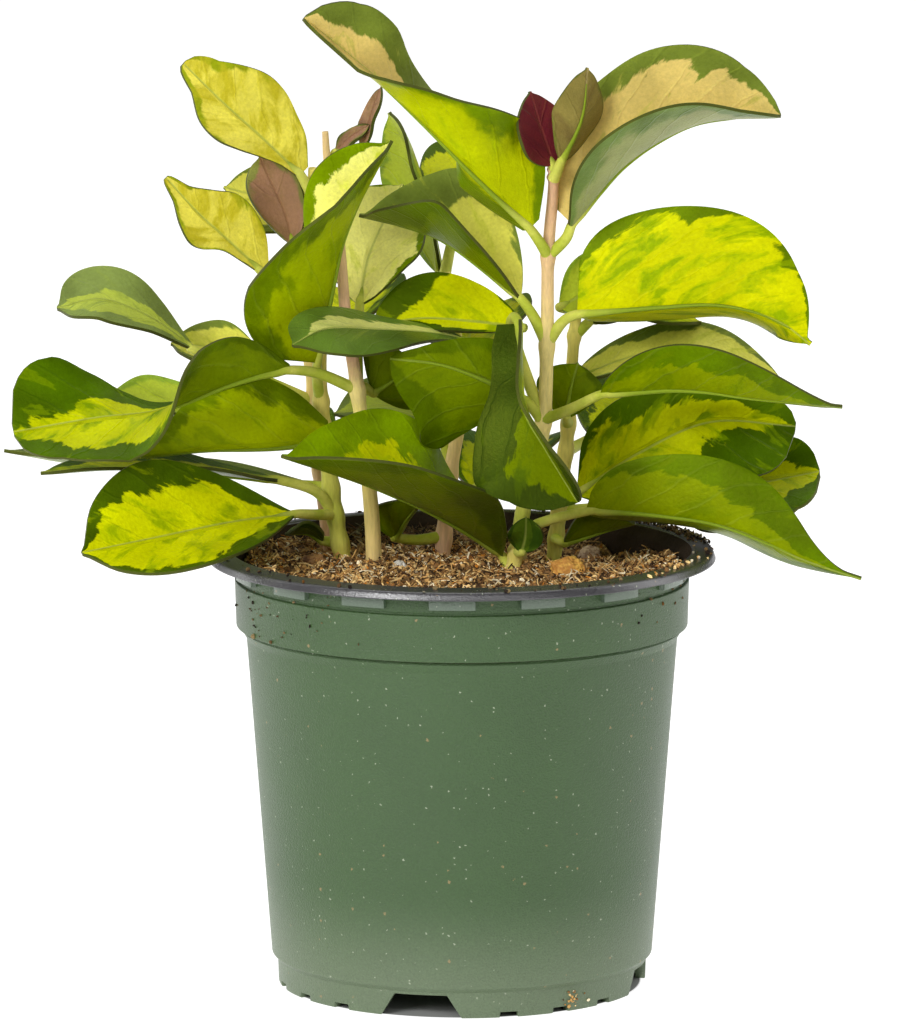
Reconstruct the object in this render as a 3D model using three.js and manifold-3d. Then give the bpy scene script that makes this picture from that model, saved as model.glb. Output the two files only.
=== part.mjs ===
// A potted hoya: a thin-walled nursery pot, its soil, seven leafy stems and the bits lying on the soil.
// Millimetres. Z is up, X runs to the right and -Y to the front; the pot stands on z = 0.
import * as THREE from "three";
import Module from "manifold-3d";
import { mergeVertices } from "three/addons/utils/BufferGeometryUtils.js";

// ---- pot ----
const LIP_R = 57, LIP_TOP = 98.8, LIP_UNDER = 96.6, LIP_INNER_R = 52.5;
const NECK_R = 50.9, NECK_Z = 92.6;
const BAND_TOP_R = 51, BAND_LOW_R = 50.5, BAND_Z = 81.8;
const BODY_TOP_R = 48.4, BODY_TOP_Z = 79, BODY_LOW_R = 42.9, BODY_LOW_Z = 7;
const FOOT_TOP_R = 41.6, FOOT_R = 41.4, FOOT_H = 5.8;
const WALL = 1.1, FLOOR_UNDER = 5.4, FLOOR_TOP = 7;
const FOOT_INNER_R = 39.2, PAD_R = 19;
const POT_SIDES = 36;
const LUGS = 16, LUG_FIRST = -2.4, LUG_ARC = 11.2, LUG_OUT = 0.9;
const NOTCHES = 4, NOTCH_FIRST = -12.9, NOTCH_TOP = 12, NOTCH_FOOT = 19, NOTCH_H = 5.2;
const SMALL_NOTCHES = [27.5, 45, 62.5], SMALL_W = 4, SMALL_H = 1.3;

// ---- soil ----
const GAP = 0.3;
const SOIL_TOP = 94, SOIL_DIP = 5, SOIL_BUMP = 0.9;
const SOIL_RINGS = [12, 24, 36, 48.6], SOIL_SIDES = 22;

// ---- leaves and stalks ----
const LEAF_STEPS = [0.02, 0.14, 0.33, 0.56, 0.8, 0.99];
const SMALL_STEPS = [0.02, 0.16, 0.4, 0.68, 0.9, 0.99], SMALL_ACROSS = [-1, 0, 1], SMALL_HALF = 10.9;
const LEAF_ACROSS = [-1, -0.52, 0, 0.52, 1];
const LEAF_THICK = 0.8, LEAF_MIN = 0.05, BLADE_WAVE = 0.5, BLADE_CURL = 10;
const STALK_BASE_R = 1.3, STALK_END_R = 0.9, STALK_SIDES = 5, STALK_STEPS = 3;
const STEM_SIDES = 7, STEM_STEPS = 5;
const HOLE_BELOW = 99;

/** One stem: the points it passes through, foot first, and its radius at foot and top. */
const STEMS = {
  right_stem: {
    radius: [1.9, 1.1],
    path: [
      [12.6, 11, 86], [13.5, 10, 104], [18, 6, 124], [19, 2, 144.7],
      [19.2, -1, 165], [20.2, -4, 179], [20.4, -6, 186],
    ],
  },
  topped_stem: {
    radius: [1.9, 0.7],
    path: [
      [-19.5, 6, 86], [-20.5, 5, 108], [-23.5, 5, 134], [-26, 6, 150],
      [-27.5, 8, 168], [-30, 9, 184], [-30.6, 9, 191.7],
    ],
  },
  left_stem: {
    radius: [1.9, 1.5],
    path: [
      [-25.5, 15, 86], [-28.5, 14, 103], [-31, 13, 122],
      [-32, 12, 136], [-31.5, 10, 150],
    ],
  },
  rear_left_stem: {
    radius: [1.6, 1.1],
    path: [
      [-29, 26, 86], [-33, 25, 120], [-34.5, 24, 150],
      [-34, 22, 170], [-33.5, 20, 182],
    ],
  },
  middle_stem: {
    radius: [1.7, 1.2],
    path: [
      [-5, 20, 86], [-3, 20, 110], [0, 19, 130],
      [-2, 20, 148], [-4, 22, 158],
    ],
  },
  rear_right_stem: {
    radius: [1.7, 1.2],
    path: [
      [20, 20, 86], [22, 18, 104], [24, 17, 124],
      [25, 18, 140], [26, 19, 152],
    ],
  },
  front_shoot: { radius: [1.7, 1.5], path: [[11, 5.2, 86], [11.8, 5.8, 95], [13, 6, 100]] },
};

/**
 * One leaf: its stalk's points from the stem, the points its midrib passes through from base to tip,
 * and its form. half = half width, face = directions its upper side looks in along the blade,
 * fold = degrees each half is lifted, curl = its further bend, peak = where along it is widest,
 * taper and base = how full its tip and its base are. A pair holds left and right of the midrib.
 * widths, in place of half, peak, taper and base, gives both half widths at even steps along.
 */
const greatest = (widths) => [0, 1].map((k) => Math.max(...widths.map((w) => w[k])));
const leaf = (name, stalk, midrib, form) => (
  { name, stalk, midrib, ...form, half: form.half ?? greatest(form.widths) });
const LEAVES = {
  right_stem: [
    leaf("crown_left", [[19.2, -1, 165], [17.5, -4, 168.2]],
      [[15, -6, 171.9], [4, -10, 182.8], [-9.5, -11, 197], [-23, -12, 209.5], [-35, -14, 219.6]],
      { widths: [[3, 3], [13, 9], [16.5, 12], [15, 13.5], [12, 10.5], [10, 9.5], [8, 12], [5.5, 10.5], [1,
        1.5]], face: [[-0.1, 0.95, 0.2], [-0.1, 0.9, 0.3], [0.6, 0.1, 0.7], [0.3, -0.9, 0.2], [0.1, -0.97,
        0]], fold: [[5, 60], [20, 55], [60, 15], [80, 8]] }),
    leaf("crown_right", [[19.2, -1, 165], [23, -3, 169]],
      [[24.5, -4, 172.5], [37, -7, 187], [53, -9, 196], [70.5, -12, 197.8]],
      { widths: [[6, 3], [15, 12], [18.5, 17], [19.5, 19], [19.5, 18], [17, 14], [11.5, 7.5], [1, 1]],
        face: [[-0.5, -0.4, 0.75]], fold: 50 }),
    leaf("big_right", [[19, 2, 144.7], [22.5, 0, 150]],
      [[26, -2, 152], [42, -5, 154], [58, -8, 155], [70, -11, 152], [77.5, -12, 146.8]],
      { half: [17, 22.8], face: [[0, 0.85, 0.5]], fold: 38, peak: [0.5, 0.36], taper: [1, 1.15],
        base: 0.45 }),
    leaf("arching_left", [[19, 2, 144.7], [16, 1, 151]],
      [[13, 1, 155.2], [3, 4, 163], [-4, 7, 167.3], [-11, 9, 169.8], [-23, 12, 172.4]],
      { half: [19, 18.5], face: [[0.41, -0.32, 0.85]], fold: 42 }),
    leaf("young_red", [[20.4, -6, 185]], [[20.2, -6.5, 186], [17.5, -7, 194], [15, -7, 202.6]],
      { half: [7.8, 6.3], face: [[0.4, -0.8, 0.3]], fold: 15, peak: 0.46 }),
    leaf("young_brown", [[20.4, -6, 183]], [[22, -9.5, 187.3], [26.4, -12, 197.5], [27.6, -12, 208.5]],
      { half: 6.6, face: [[-0.4, 0.8, 0.3]] }),
    leaf("front_hanging", [[18, 5, 127], [11.5, 4, 146], [11.5, 0, 151]],
      [[12.6, -5, 150.3], [13, -11, 140.8], [14, -17, 132.6], [18.6, -20.2, 124.6], [25.8, -19.4, 112.4]],
      { widths: [[3, 5], [6, 6.2], [8.5, 6.6], [9.5, 8], [9.5, 12.5], [9, 17], [8, 18], [5.5, 13.5], [1,
        1.5]], face: [[-0.4, -0.9, 0.08]], fold: [[60, 25], [65, 15], [65, 5], [60, 0], [40, 10]] }),
    leaf("middle_left_low", [[18, 5, 127], [15, 3, 131]],
      [[11.5, -3, 134], [4, -6, 138], [-5, -8, 141.5], [-16, -8, 142.8]],
      { widths: [[1, 3], [8.5, 13], [9.5, 19], [8, 20], [5.5, 18], [3, 11.5], [0.6, 1]], face: [[0.1,
        0.93, -0.3]], fold: [0, 25] }),
    leaf("low_right", [[18, 5, 127], [24, 1, 130]],
      [[31, -3, 134], [49, -8, 136], [65, -12, 134.6], [84.4, -16, 133.3]],
      { half: [14, 13.2], face: [[0, 0.55, 0.83]], fold: 25, peak: 0.44, taper: 1.3 }),
  ],
  topped_stem: [
    leaf("s_curve", [[-23.8, 5, 134], [-32, 2, 138]],
      [[-38.6, -2, 139.4], [-51, -9, 137.5], [-67, -13, 132], [-81, -16, 130.7], [-99.5, -18, 127.8]],
      { widths: [[1.5, 1], [7.5, 1.4], [11.5, 2], [13.6, 3], [14.5, 4.4], [14.2, 7.5], [12.8, 12], [9.8,
        15.5], [2, 5]], face: [[0, 0.95, 0.3], [0, 0.9, 0.4], [0, 0.45, 0.9], [0, -0.35, 0.94], [0, -0.65,
        0.76], [0, -0.85, 0.5]], fold: [[15, 40], [15, 30], [-20, 10], [20, 15]] }),
    leaf("behind_middle", [[-23.5, 5, 134], [-22, 8, 134]],
      [[-20, 9, 132.5], [-15.5, 8.5, 135.5], [-10, 7, 139.5]],
      { half: 10.5, face: [[0.3, 0.8, 0.5]], fold: 15 }),
    leaf("cream_behind", [[-23.5, 5, 134], [-23.5, 11, 143]],
      [[-23, 13, 152], [-21, 17, 162], [-17.5, 20, 170], [-13.5, 23, 178]],
      { half: 13, face: [[-0.2, -0.95, 0.2]] }),
    leaf("young_middle", [[-29, 9, 180], [-25, 11, 184]],
      [[-22.5, 12, 187], [-20.5, 12, 194], [-18, 12, 201.5]],
      { half: 2.6, face: [[-0.5, -0.7, 0.3]], fold: 30 }),
    leaf("young_pink", [[-29, 9, 178], [-29, 10, 184]],
      [[-28.5, 10.5, 186.5], [-25, 11, 190], [-20.5, 11, 193]],
      { half: 2.2, face: [[0, -0.8, 0.5]], fold: 30 }),
  ],
  left_stem: [
    leaf("folded_upright", [[-31.8, 12.3, 130], [-32.6, 10.5, 136]],
      [[-32.4, 7.5, 140], [-29.6, 2, 155], [-26.3, -3, 169.6], [-21, -5, 181.4], [-15.7, -4, 191.3]],
      { half: [12.5, 22.5], face: [[-0.93, 0.35, 0.13], [-0.93, 0.1, 0.25], [-0.8, -0.42, 0.35], [-0.75,
        -0.6, 0.35]], fold: [60, 44], peak: [0.66, 0.34], taper: [0.7, 0.95], base: 0.6 }),
    leaf("left_underside", [[-31.3, 13, 123]],
      [[-30, 9, 121.5], [-43, 2, 121], [-57, -3, 121.3], [-72, -6, 120.3]],
      { widths: [[5, 1], [12, 5], [15.8, 8], [17.3, 9], [16.6, 9], [13.2, 7], [7, 4], [1, 0.6]],
        face: [[0, 0.9, 0.4]], fold: [35, 75] }),
    leaf("left_edge_low", [[-28.7, 14, 104], [-33, 10, 110]],
      [[-41, 7, 113], [-59, 1, 116], [-77, -4, 117.6], [-94, -8, 117]],
      { half: [10, 12], face: [[0, -0.02, 1]], fold: 8 }),
    leaf("left_edge_far", [[-30, 14, 110]],
      [[-33, 15, 110.5], [-50, 15.5, 112.6], [-70, 14.5, 114], [-88, 12, 116.3], [-103, 9, 119.4]],
      { half: 10.5, face: [[0, 0.05, 1]], fold: 8 }),
    leaf("left_low_bright", [[-28.7, 14, 104], [-33, 8, 105]],
      [[-37, 3, 106], [-52, -11, 106.2], [-68, -21, 104.5], [-84, -29, 102.5]],
      { half: 17.5, face: [[0, -0.75, 0.65]], fold: 25, peak: 0.63, taper: 0.58 }),
    leaf("left_behind", [[-31.3, 13, 124], [-45, 13, 127.5]],
      [[-56, 12, 128.2], [-68, 11, 129.5], [-81, 10, 130]],
      { half: 10, face: [[0, -0.3, 0.95]], fold: 12 }),
    leaf("left_small_dark", [[-27.5, 14.5, 97.5]], [[-31.5, 16, 97.6], [-35, 15.5, 99.6], [-40, 15,
      99.3]],
      { half: 7, face: [[0, 0.2, 0.9]], fold: 10 }),
  ],
  rear_left_stem: [
    leaf("top_left", [[-33.8, 20, 176]],
      [[-36.3, 18, 180.8], [-44.5, 16, 189], [-53.5, 14, 197.5], [-62.4, 12, 206.6]],
      { widths: [[0.8, 2.5], [1.7, 7], [3.8, 9.4], [6.3, 11.4], [8.2, 11.5], [7.4, 9.6], [3.5, 6.2], [1.2,
        1.6]], face: [[0.2, -0.9, 0.3]], fold: 10 }),
    leaf("upper_left", [[-34.5, 24, 152], [-38.5, 19, 154.5]],
      [[-44.8, 16, 158.9], [-53.2, 14.5, 167], [-59.2, 13.3, 172.7], [-66.4, 12, 180.9]],
      { widths: [[0.6, 2], [1.5, 6.6], [2.7, 8.7], [5.8, 9.5], [6.9, 8.8], [5.3, 6.1], [2.4, 2.6], [0.8,
        0.8]], face: [[0, -0.9, 0.4]], fold: 10 }),
    leaf("young_rear", [[-34.2, 23, 163]],
      [[-38, 22, 164.2], [-40, 21, 172], [-43.5, 20.5, 180], [-45.5, 20, 184.7]],
      { half: 6.4, face: [[0, -0.9, 0.1]], peak: 0.55, taper: 0.65 }),
    leaf("pale_rear", [[-34.2, 24, 165]], [[-34, 28, 168], [-43, 31, 173], [-54, 33, 176]],
      { half: 9, face: [[0, -0.8, 0.4]], fold: 10 }),
    leaf("far_left", [[-33.5, 25, 128], [-45, 20, 134]],
      [[-59.5, 15, 141], [-70, 13, 149], [-81, 12, 153.3], [-91, 11, 151.4]],
      { half: [11, 9.6], face: [[0, -0.5, 0.85]], fold: 12, peak: 0.66, taper: 0.6 }),
    leaf("pale_left", [[-34, 25, 140]], [[-46, 26, 139], [-56, 27, 140], [-66, 27, 141]],
      { half: 7.5, face: [[0, -0.6, 0.8]], fold: 10 }),
    leaf("rear_left_back", [[-34.3, 25, 138]],
      [[-30, 32, 141], [-27, 44, 147], [-26, 56, 149], [-27, 67, 147]],
      { half: 14, face: [[0, 0.1, 1]], fold: 12 }),
    leaf("rear_left_low", [[-32, 26, 112]],
      [[-34, 31, 115], [-40, 44, 118], [-46, 56, 118], [-52, 66, 115]],
      { half: 14, face: [[0, 0.1, 1]], fold: 12 }),
  ],
  middle_stem: [
    leaf("centre_striped", [[0, 18.5, 140], [3, 15, 142]],
      [[2, 14, 143.3], [-6, 9.5, 145.8], [-18, -1.5, 148.3], [-30, -10, 149.8], [-37.6, -15, 146.8]],
      { half: [11.5, 9.4], face: [[0, -0.42, 0.9]], fold: 8, curl: -20, peak: [0.72, 0.66], taper: 0.6 }),
    leaf("centre_cream", [[-2, 20, 148], [8, 15, 147.2]],
      [[14, 13, 146.7], [2, 13.5, 148.1], [-10, 13.5, 148.7], [-21, 14.5, 146.3]],
      { half: [3.4, 10.6], face: [[0, -0.87, 0.48]], fold: 12 }),
    leaf("narrow_back", [[-4, 22, 156]],
      [[-5, 27, 157], [-8, 31, 172], [-11.5, 32, 184.2], [-16.5, 33, 193.1]],
      { half: 12, face: [[-0.9, -0.3, 0.2]] }),
    leaf("rear_grey", [[-3, 20, 112], [-4, 22, 120]], [[-6, 24, 124], [-17, 26, 127], [-29, 26, 125]],
      { half: 12, face: [[0, -0.2, 0.95]], fold: 10 }),
    leaf("low_middle", [[-4, 20, 98], [-10, 18, 97.5]], [[-15, 15, 98.5], [-13, 12, 103], [-9.4, 9, 108]],
      { half: 8, face: [[-0.5, 0.6, 0.6]], fold: 30 }),
    leaf("middle_back", [[0, 20, 132]], [[0, 27, 135], [2, 40, 142], [3, 54, 145], [3, 66, 142]],
      { half: 14, face: [[0, 0.1, 1]], fold: 12 }),
    leaf("middle_back_low", [[-2, 21, 106]], [[3, 26, 108], [8, 38, 112], [12, 52, 114], [14, 64, 111]],
      { half: 15, face: [[0, 0.1, 1]], fold: 12 }),
    leaf("high_back", [[-4, 22, 157]], [[-2, 26, 166], [2, 34, 175], [6, 46, 180], [9, 56, 178]],
      { half: 14, face: [[0, -0.2, 1]], fold: 12 }),
  ],
  rear_right_stem: [
    leaf("right_dark", [[22, 18, 106]], [[26.5, 17, 108.6], [40, 14, 118], [56, 11, 125.5], [75, 8, 125]],
      { widths: [[1, 1.5], [9, 9.5], [12.5, 15], [12.8, 18.5], [11.5, 20], [10, 19], [7.5, 14], [1.5, 3]],
        face: [[0.1, -0.9, 0.45]], fold: 10 }),
    leaf("right_back_cream", [[24, 17, 130]],
      [[25.5, 17, 134.5], [40, 15, 140], [57, 14, 141.3], [73, 13, 133.8]],
      { half: [8.6, 7.5], face: [[0, -0.45, 0.9]], fold: 8, peak: 0.45 }),
    leaf("right_low", [[22, 18, 104], [35, 19, 105]], [[48, 20, 106], [64, 17, 109.8], [80.7, 14, 113.7]],
      { widths: [[1, 1], [10, 10], [14, 14], [15.5, 15.5], [15.5, 15.5], [13.5, 14.5], [9.5, 11], [2, 3]],
        face: [[0, -0.7, 0.7]], fold: 12 }),
    leaf("behind_stem_dark", [[24, 17, 124]], [[23.5, 12.5, 126.5], [24.3, 9.3, 133], [26, 8.2, 139.5]],
      { half: 8, face: [[0, 0.9, 0.3]], fold: 15 }),
    leaf("right_pale", [[25.2, 18.3, 144]], [[29, 18.5, 147.5], [40, 19, 148.8], [54, 19, 147]],
      { half: 6.5, face: [[0, -0.2, 0.95]], fold: 8 }),
    leaf("right_lime", [[26, 19, 150]], [[22, 15.5, 151], [32, 14, 156], [46, 13, 157]],
      { half: 9, face: [[0, -0.8, 0.5]], fold: 12 }),
    leaf("right_soil", [[21, 19, 98], [21.5, 16, 98]], [[23, 13, 97.6], [31, 11, 100.5], [39, 8.5, 103]],
      { half: 7.5, face: [[0, 0.4, 0.9]] }),
    leaf("rear_right_back", [[24, 18, 118]], [[30, 26, 120], [38, 38, 124], [46, 50, 125], [54, 60, 122]],
      { half: 16, face: [[0, 0.1, 1]], fold: 12 }),
    leaf("rear_right_high", [[26, 19, 151]], [[30, 25, 150], [38, 36, 154], [45, 50, 156], [52, 60, 153]],
      { half: 15, face: [[0, 0.1, 1]], fold: 12 }),
  ],
  front_shoot: [
    leaf("front_left", [[11.4, 5.8, 91.5]],
      [[9, 7, 95.8], [1.8, 0, 102], [-7.2, -8, 108.4], [-18.4, -14, 114.4], [-28.5, -18, 118.7], [-40,
        -21, 123]],
      { half: 19.5, face: [[-0.08, -0.36, 0.93]], fold: 42, peak: 0.57 }),
    leaf("right_low_front", [[12.2, 6, 97], [16, 4, 103]],
      [[28, 2, 106.8], [42, -2, 106.8], [60, -8, 104.7], [76, -13, 98.5], [88.9, -16, 94.6]],
      { half: [9.8, 14.8], face: [[0, 0.85, 0.5]], fold: 35, peak: [0.45, 0.38], taper: [1.6, 1.9] }),
    leaf("front_small", [[12, 5.8, 97]], [[13.4, 3, 97.2], [14.2, 2, 101], [14.4, 2, 105.5]],
      { half: 4.2, face: [[0, -0.9, 0.3]], fold: 10 }),
  ],
};

/** The pieces lying on the soil: place, half sizes, turn in degrees, seed, colour. */
const BITS = {
  bark_orange: { at: [24, -5], half: [4.3, 3.2, 3.1], turn: 12, seed: 3, color: 0xc98a35 },
  bark_amber: { at: [1, 11], half: [2.1, 1.6, 1.5], turn: 40, seed: 11, color: 0xc4752a },
  bark_brown: { at: [-33.4, 7], half: [3.2, 2.4, 2], turn: -10, seed: 7, color: 0x8a5a38 },
  perlite: { at: [-14, 2.5], half: [1.7, 1.5, 1.4], turn: 20, seed: 17, color: 0xe8e4da },
  pebble: { at: [29, 32], half: [2.6, 2.4, 2.3], turn: 0, seed: 23, color: 0xa98372 },
};

const rad = THREE.MathUtils.degToRad;
const pair = (v) => (Array.isArray(v) ? v : [v, v]);
const vec = (p) => new THREE.Vector3(...p);
const wasm = await Module();
wasm.setup();

// ---- solids ----
/** A solid from a closed list of triangles (each three vectors). */
function solid(triangles) {
  const flat = new Float32Array(triangles.flat().flatMap((p) => [p.x, p.y, p.z]));
  const geometry = new THREE.BufferGeometry();
  geometry.setAttribute("position", new THREE.BufferAttribute(flat, 3));
  return fromGeometry(geometry);
}

/** A solid from a closed three.js geometry. */
function fromGeometry(geometry) {
  geometry.deleteAttribute("normal");
  geometry.deleteAttribute("uv");
  const merged = mergeVertices(geometry, 1e-4);
  const mesh = new wasm.Mesh({
    numProp: 3,
    vertProperties: new Float32Array(merged.attributes.position.array),
    triVerts: new Uint32Array(merged.index.array),
  });
  return new wasm.Manifold(mesh);
}

/** A named mesh from a solid. */
function node(name, body, color, roughness) {
  const mesh = body.getMesh();
  const geometry = new THREE.BufferGeometry();
  geometry.setAttribute("position", new THREE.BufferAttribute(new Float32Array(mesh.vertProperties), 3));
  geometry.setIndex(new THREE.BufferAttribute(new Uint32Array(mesh.triVerts), 1));
  geometry.computeVertexNormals();
  const out = new THREE.Mesh(geometry, new THREE.MeshStandardMaterial({ color, roughness }));
  out.name = name;
  return out;
}

/** Joins closed rings of equal length with quads and closes both ends. */
function skin(rings) {
  const out = [];
  const n = rings[0].length;
  for (let i = 0; i + 1 < rings.length; i++) {
    for (let j = 0; j < n; j++) {
      const [a, b] = [rings[i][j], rings[i][(j + 1) % n]];
      const [d, c] = [rings[i + 1][j], rings[i + 1][(j + 1) % n]];
      out.push([a, b, c], [a, c, d]);
    }
  }
  const last = rings.at(-1);
  for (let j = 1; j + 1 < n; j++) {
    out.push([rings[0][0], rings[0][j + 1], rings[0][j]], [last[0], last[j], last[j + 1]]);
  }
  return out;
}

// ---- curves ----
/** The point at t (0..1) of the smooth curve through the points, its ends mirrored. */
function through(points, t) {
  const p = points.map(vec);
  if (p.length === 2) return p[0].lerp(p[1], t);
  const n = p.length - 1;
  const x = THREE.MathUtils.clamp(t, 0, 1) * n;
  const i = Math.min(Math.floor(x), n - 1);
  const u = x - i;
  const [b, c] = [p[i], p[i + 1]];
  const a = i > 0 ? p[i - 1] : b.clone().multiplyScalar(2).sub(c);
  const d = i + 2 <= n ? p[i + 2] : c.clone().multiplyScalar(2).sub(b);
  const part = (k) => {
    const [q, r, s, v] = [a, b, c, d].map((w) => w.getComponent(k));
    return 0.5 * (2 * r + (s - q) * u + (2 * q - 5 * r + 4 * s - v) * u * u
      + (3 * r - q - 3 * s + v) * u ** 3);
  };
  return new THREE.Vector3(part(0), part(1), part(2));
}

/** The mix at t of a list of directions. */
function blend(list, t) {
  if (list.length === 1) return vec(list[0]);
  const x = THREE.MathUtils.clamp(t, 0, 1) * (list.length - 1);
  const i = Math.min(Math.floor(x), list.length - 2);
  return vec(list[i]).normalize().lerp(vec(list[i + 1]).normalize(), x - i);
}

/** A round stalk through the points, from radius r0 to r1; grow widens and lengthens it. */
function tube(points, r0, r1, sides, steps, grow = 0) {
  const rings = [];
  for (let i = 0; i <= steps; i++) {
    const t = i / steps;
    const at = through(points, t);
    const along = through(points, Math.min(t + 0.03, 1)).sub(through(points, Math.max(t - 0.03, 0)));
    along.normalize();
    if (i === 0 && grow) at.addScaledVector(along, -grow);
    const a = new THREE.Vector3().crossVectors(along, new THREE.Vector3(0, 1, 0.1)).normalize();
    const b = new THREE.Vector3().crossVectors(along, a);
    const r = r0 + (r1 - r0) * t + grow;
    const turn = (j) => rad((360 / sides) * j);
    rings.push(Array.from({ length: sides }, (_, j) => at.clone()
      .addScaledVector(a, r * Math.cos(turn(j))).addScaledVector(b, r * Math.sin(turn(j)))));
  }
  return solid(skin(rings));
}

// ---- leaves ----
/** The blade's half width at t as a share of its greatest. */
function outline(t, peak, taper, base) {
  const u = t ** (Math.log(0.5) / Math.log(peak));
  const power = base + (taper - base) * t * t * (3 - 2 * t);
  const blunt = 1 - 0.7 * Math.exp(-(((1 - t) / 0.045) ** 2));
  return Math.max(Math.sin(Math.PI * Math.min(u, 1)) ** power * blunt, LEAF_MIN);
}

/** The half width at t on one side, as a share of that side's greatest. */
function share(shape, k, t) {
  const { widths, half, peak = 0.52, taper = 0.8, base = 0.68 } = shape;
  if (!widths) return outline(t, pair(peak)[k], pair(taper)[k], base);
  const width = through(widths.map(([left, right]) => [left, right, 0]), t).getComponent(k);
  return Math.max(width / half[k], LEAF_MIN);
}

/** The fold of both halves at t, in degrees. */
function foldAt(fold, t) {
  const list = Array.isArray(fold) ? (Array.isArray(fold[0]) ? fold : [fold]) : [[fold, fold]];
  if (list.length === 1) return list[0];
  const x = THREE.MathUtils.clamp(t, 0, 1) * (list.length - 1);
  const i = Math.min(Math.floor(x), list.length - 2);
  return [0, 1].map((k) => list[i][k] * (1 - x + i) + list[i + 1][k] * (x - i));
}

/** The point of a leaf's middle surface at t along and x (-1..1) across. */
function bladePoint(shape, t, x) {
  const { midrib, half, face, fold = 20, curl = BLADE_CURL } = shape;
  const along = through(midrib, Math.min(t + 0.02, 1)).sub(through(midrib, Math.max(t - 0.02, 0)));
  along.normalize();
  const up = blend(face, t);
  up.addScaledVector(along, -up.dot(along)).normalize();
  const side = new THREE.Vector3().crossVectors(along, up);
  const k = x < 0 ? 0 : 1;
  const width = pair(half)[k];
  const d = Math.abs(x) * share(shape, k, t);
  const a = rad(foldAt(fold, t)[k]);
  const c = rad(pair(curl)[k]);
  const lateral = c ? (Math.sin(a + c * d) - Math.sin(a)) / c : d * Math.cos(a);
  const lift = c ? (Math.cos(a) - Math.cos(a + c * d)) / c : d * Math.sin(a);
  const ripple = BLADE_WAVE * d * Math.abs(x) * Math.sin(10 * t + (x < 0 ? 1.9 : 0) + midrib[0][0]);
  return through(midrib, t)
    .addScaledVector(side, (x < 0 ? -1 : 1) * lateral * width)
    .addScaledVector(up, lift * width + ripple);
}

/** The blade: its middle surface thickened both ways, closed along its edge. */
function blade(shape) {
  const small = Math.max(...pair(shape.half)) < SMALL_HALF;
  const [steps, across] = small ? [SMALL_STEPS, SMALL_ACROSS] : [LEAF_STEPS, LEAF_ACROSS];
  const mid = steps.map((t) => across.map((x) => bladePoint(shape, t, x)));
  const [rows, cols] = [steps.length, across.length];
  const facing = (i, j) => {
    const [i0, i1] = [Math.max(i - 1, 0), Math.min(i + 1, rows - 1)];
    const run = mid[i1][j].clone().sub(mid[i0][j]);
    const spans = [];
    if (j > 0) spans.push(mid[i][j].clone().sub(mid[i][j - 1]));
    if (j < cols - 1) spans.push(mid[i][j + 1].clone().sub(mid[i][j]));
    const normals = spans.map((s) => new THREE.Vector3().crossVectors(s, run).normalize());
    const mean = normals.reduce((s, v) => s.add(v), new THREE.Vector3()).normalize();
    return mean.multiplyScalar((LEAF_THICK / 2) / Math.max(mean.dot(normals.at(-1)), 0.6));
  };
  const off = mid.map((row, i) => row.map((_, j) => facing(i, j)));
  const top = (i, j) => mid[i][j].clone().add(off[i][j]);
  const low = (i, j) => mid[i][j].clone().sub(off[i][j]);
  const out = [];
  const quad = (a, b, c, d) => out.push([a, b, c], [a, c, d]);
  for (let i = 0; i + 1 < rows; i++) {
    for (let j = 0; j + 1 < cols; j++) {
      quad(top(i, j), top(i, j + 1), top(i + 1, j + 1), top(i + 1, j));
      const [a, b, c, d] = [low(i, j), low(i, j + 1), low(i + 1, j + 1), low(i + 1, j)];
      out.push([a, c, b], [a, d, c]);
    }
    quad(low(i, 0), top(i, 0), top(i + 1, 0), low(i + 1, 0));
    quad(top(i, cols - 1), low(i, cols - 1), low(i + 1, cols - 1), top(i + 1, cols - 1));
  }
  for (let j = 0; j + 1 < cols; j++) {
    quad(low(0, j), low(0, j + 1), top(0, j + 1), top(0, j));
    quad(top(rows - 1, j), top(rows - 1, j + 1), low(rows - 1, j + 1), low(rows - 1, j));
  }
  return solid(out);
}

/** The points a leaf's stalk runs through: the stem, its own points, then just into the blade. */
const stalkPoints = ({ stalk, midrib }) => [...stalk, midrib[0], through(midrib, 0.05).toArray()];

/** One stem with every stalk and blade it carries, grown together. */
function leafyStem(name) {
  const { path, radius } = STEMS[name];
  let body = tube(path, ...radius, STEM_SIDES, STEM_STEPS);
  for (const shape of LEAVES[name]) {
    const stalk = tube(stalkPoints(shape), STALK_BASE_R, STALK_END_R, STALK_SIDES, STALK_STEPS);
    body = body.add(stalk).add(blade(shape));
  }
  // A tight crease can leave a speck of no size beside the body; a loose leaf is an error.
  const [main, ...specks] = body.decompose().toSorted((a, b) => b.volume() - a.volume());
  if (specks.some((speck) => speck.volume() > 0.1)) throw new Error(`${name} has a loose piece`);
  return main;
}

/** The room a stem's buried parts take in the soil. */
function rootHole(name) {
  const { path, radius } = STEMS[name];
  let hole = tube(path, ...radius, STEM_SIDES, STEM_STEPS, GAP);
  for (const shape of LEAVES[name]) {
    if (shape.stalk[0][2] > HOLE_BELOW) continue;
    hole = hole.add(tube(stalkPoints(shape), STALK_BASE_R, STALK_END_R, STALK_SIDES, STALK_STEPS, GAP));
  }
  return hole;
}

// ---- pot ----
/** A wedge of a ring between two radii and heights, centred on an angle from the front. */
function arcBlock(angle, arc, r0, r1, z0, z1) {
  const corner = (r, a, z) => new THREE.Vector3(r * Math.sin(rad(a)), -r * Math.cos(rad(a)), z);
  const ring = (z) => [
    corner(r0, angle - arc / 2, z), corner(r1, angle - arc / 2, z),
    corner(r1, angle + arc / 2, z), corner(r0, angle + arc / 2, z),
  ];
  return solid(skin([ring(z0), ring(z1)]));
}

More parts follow.
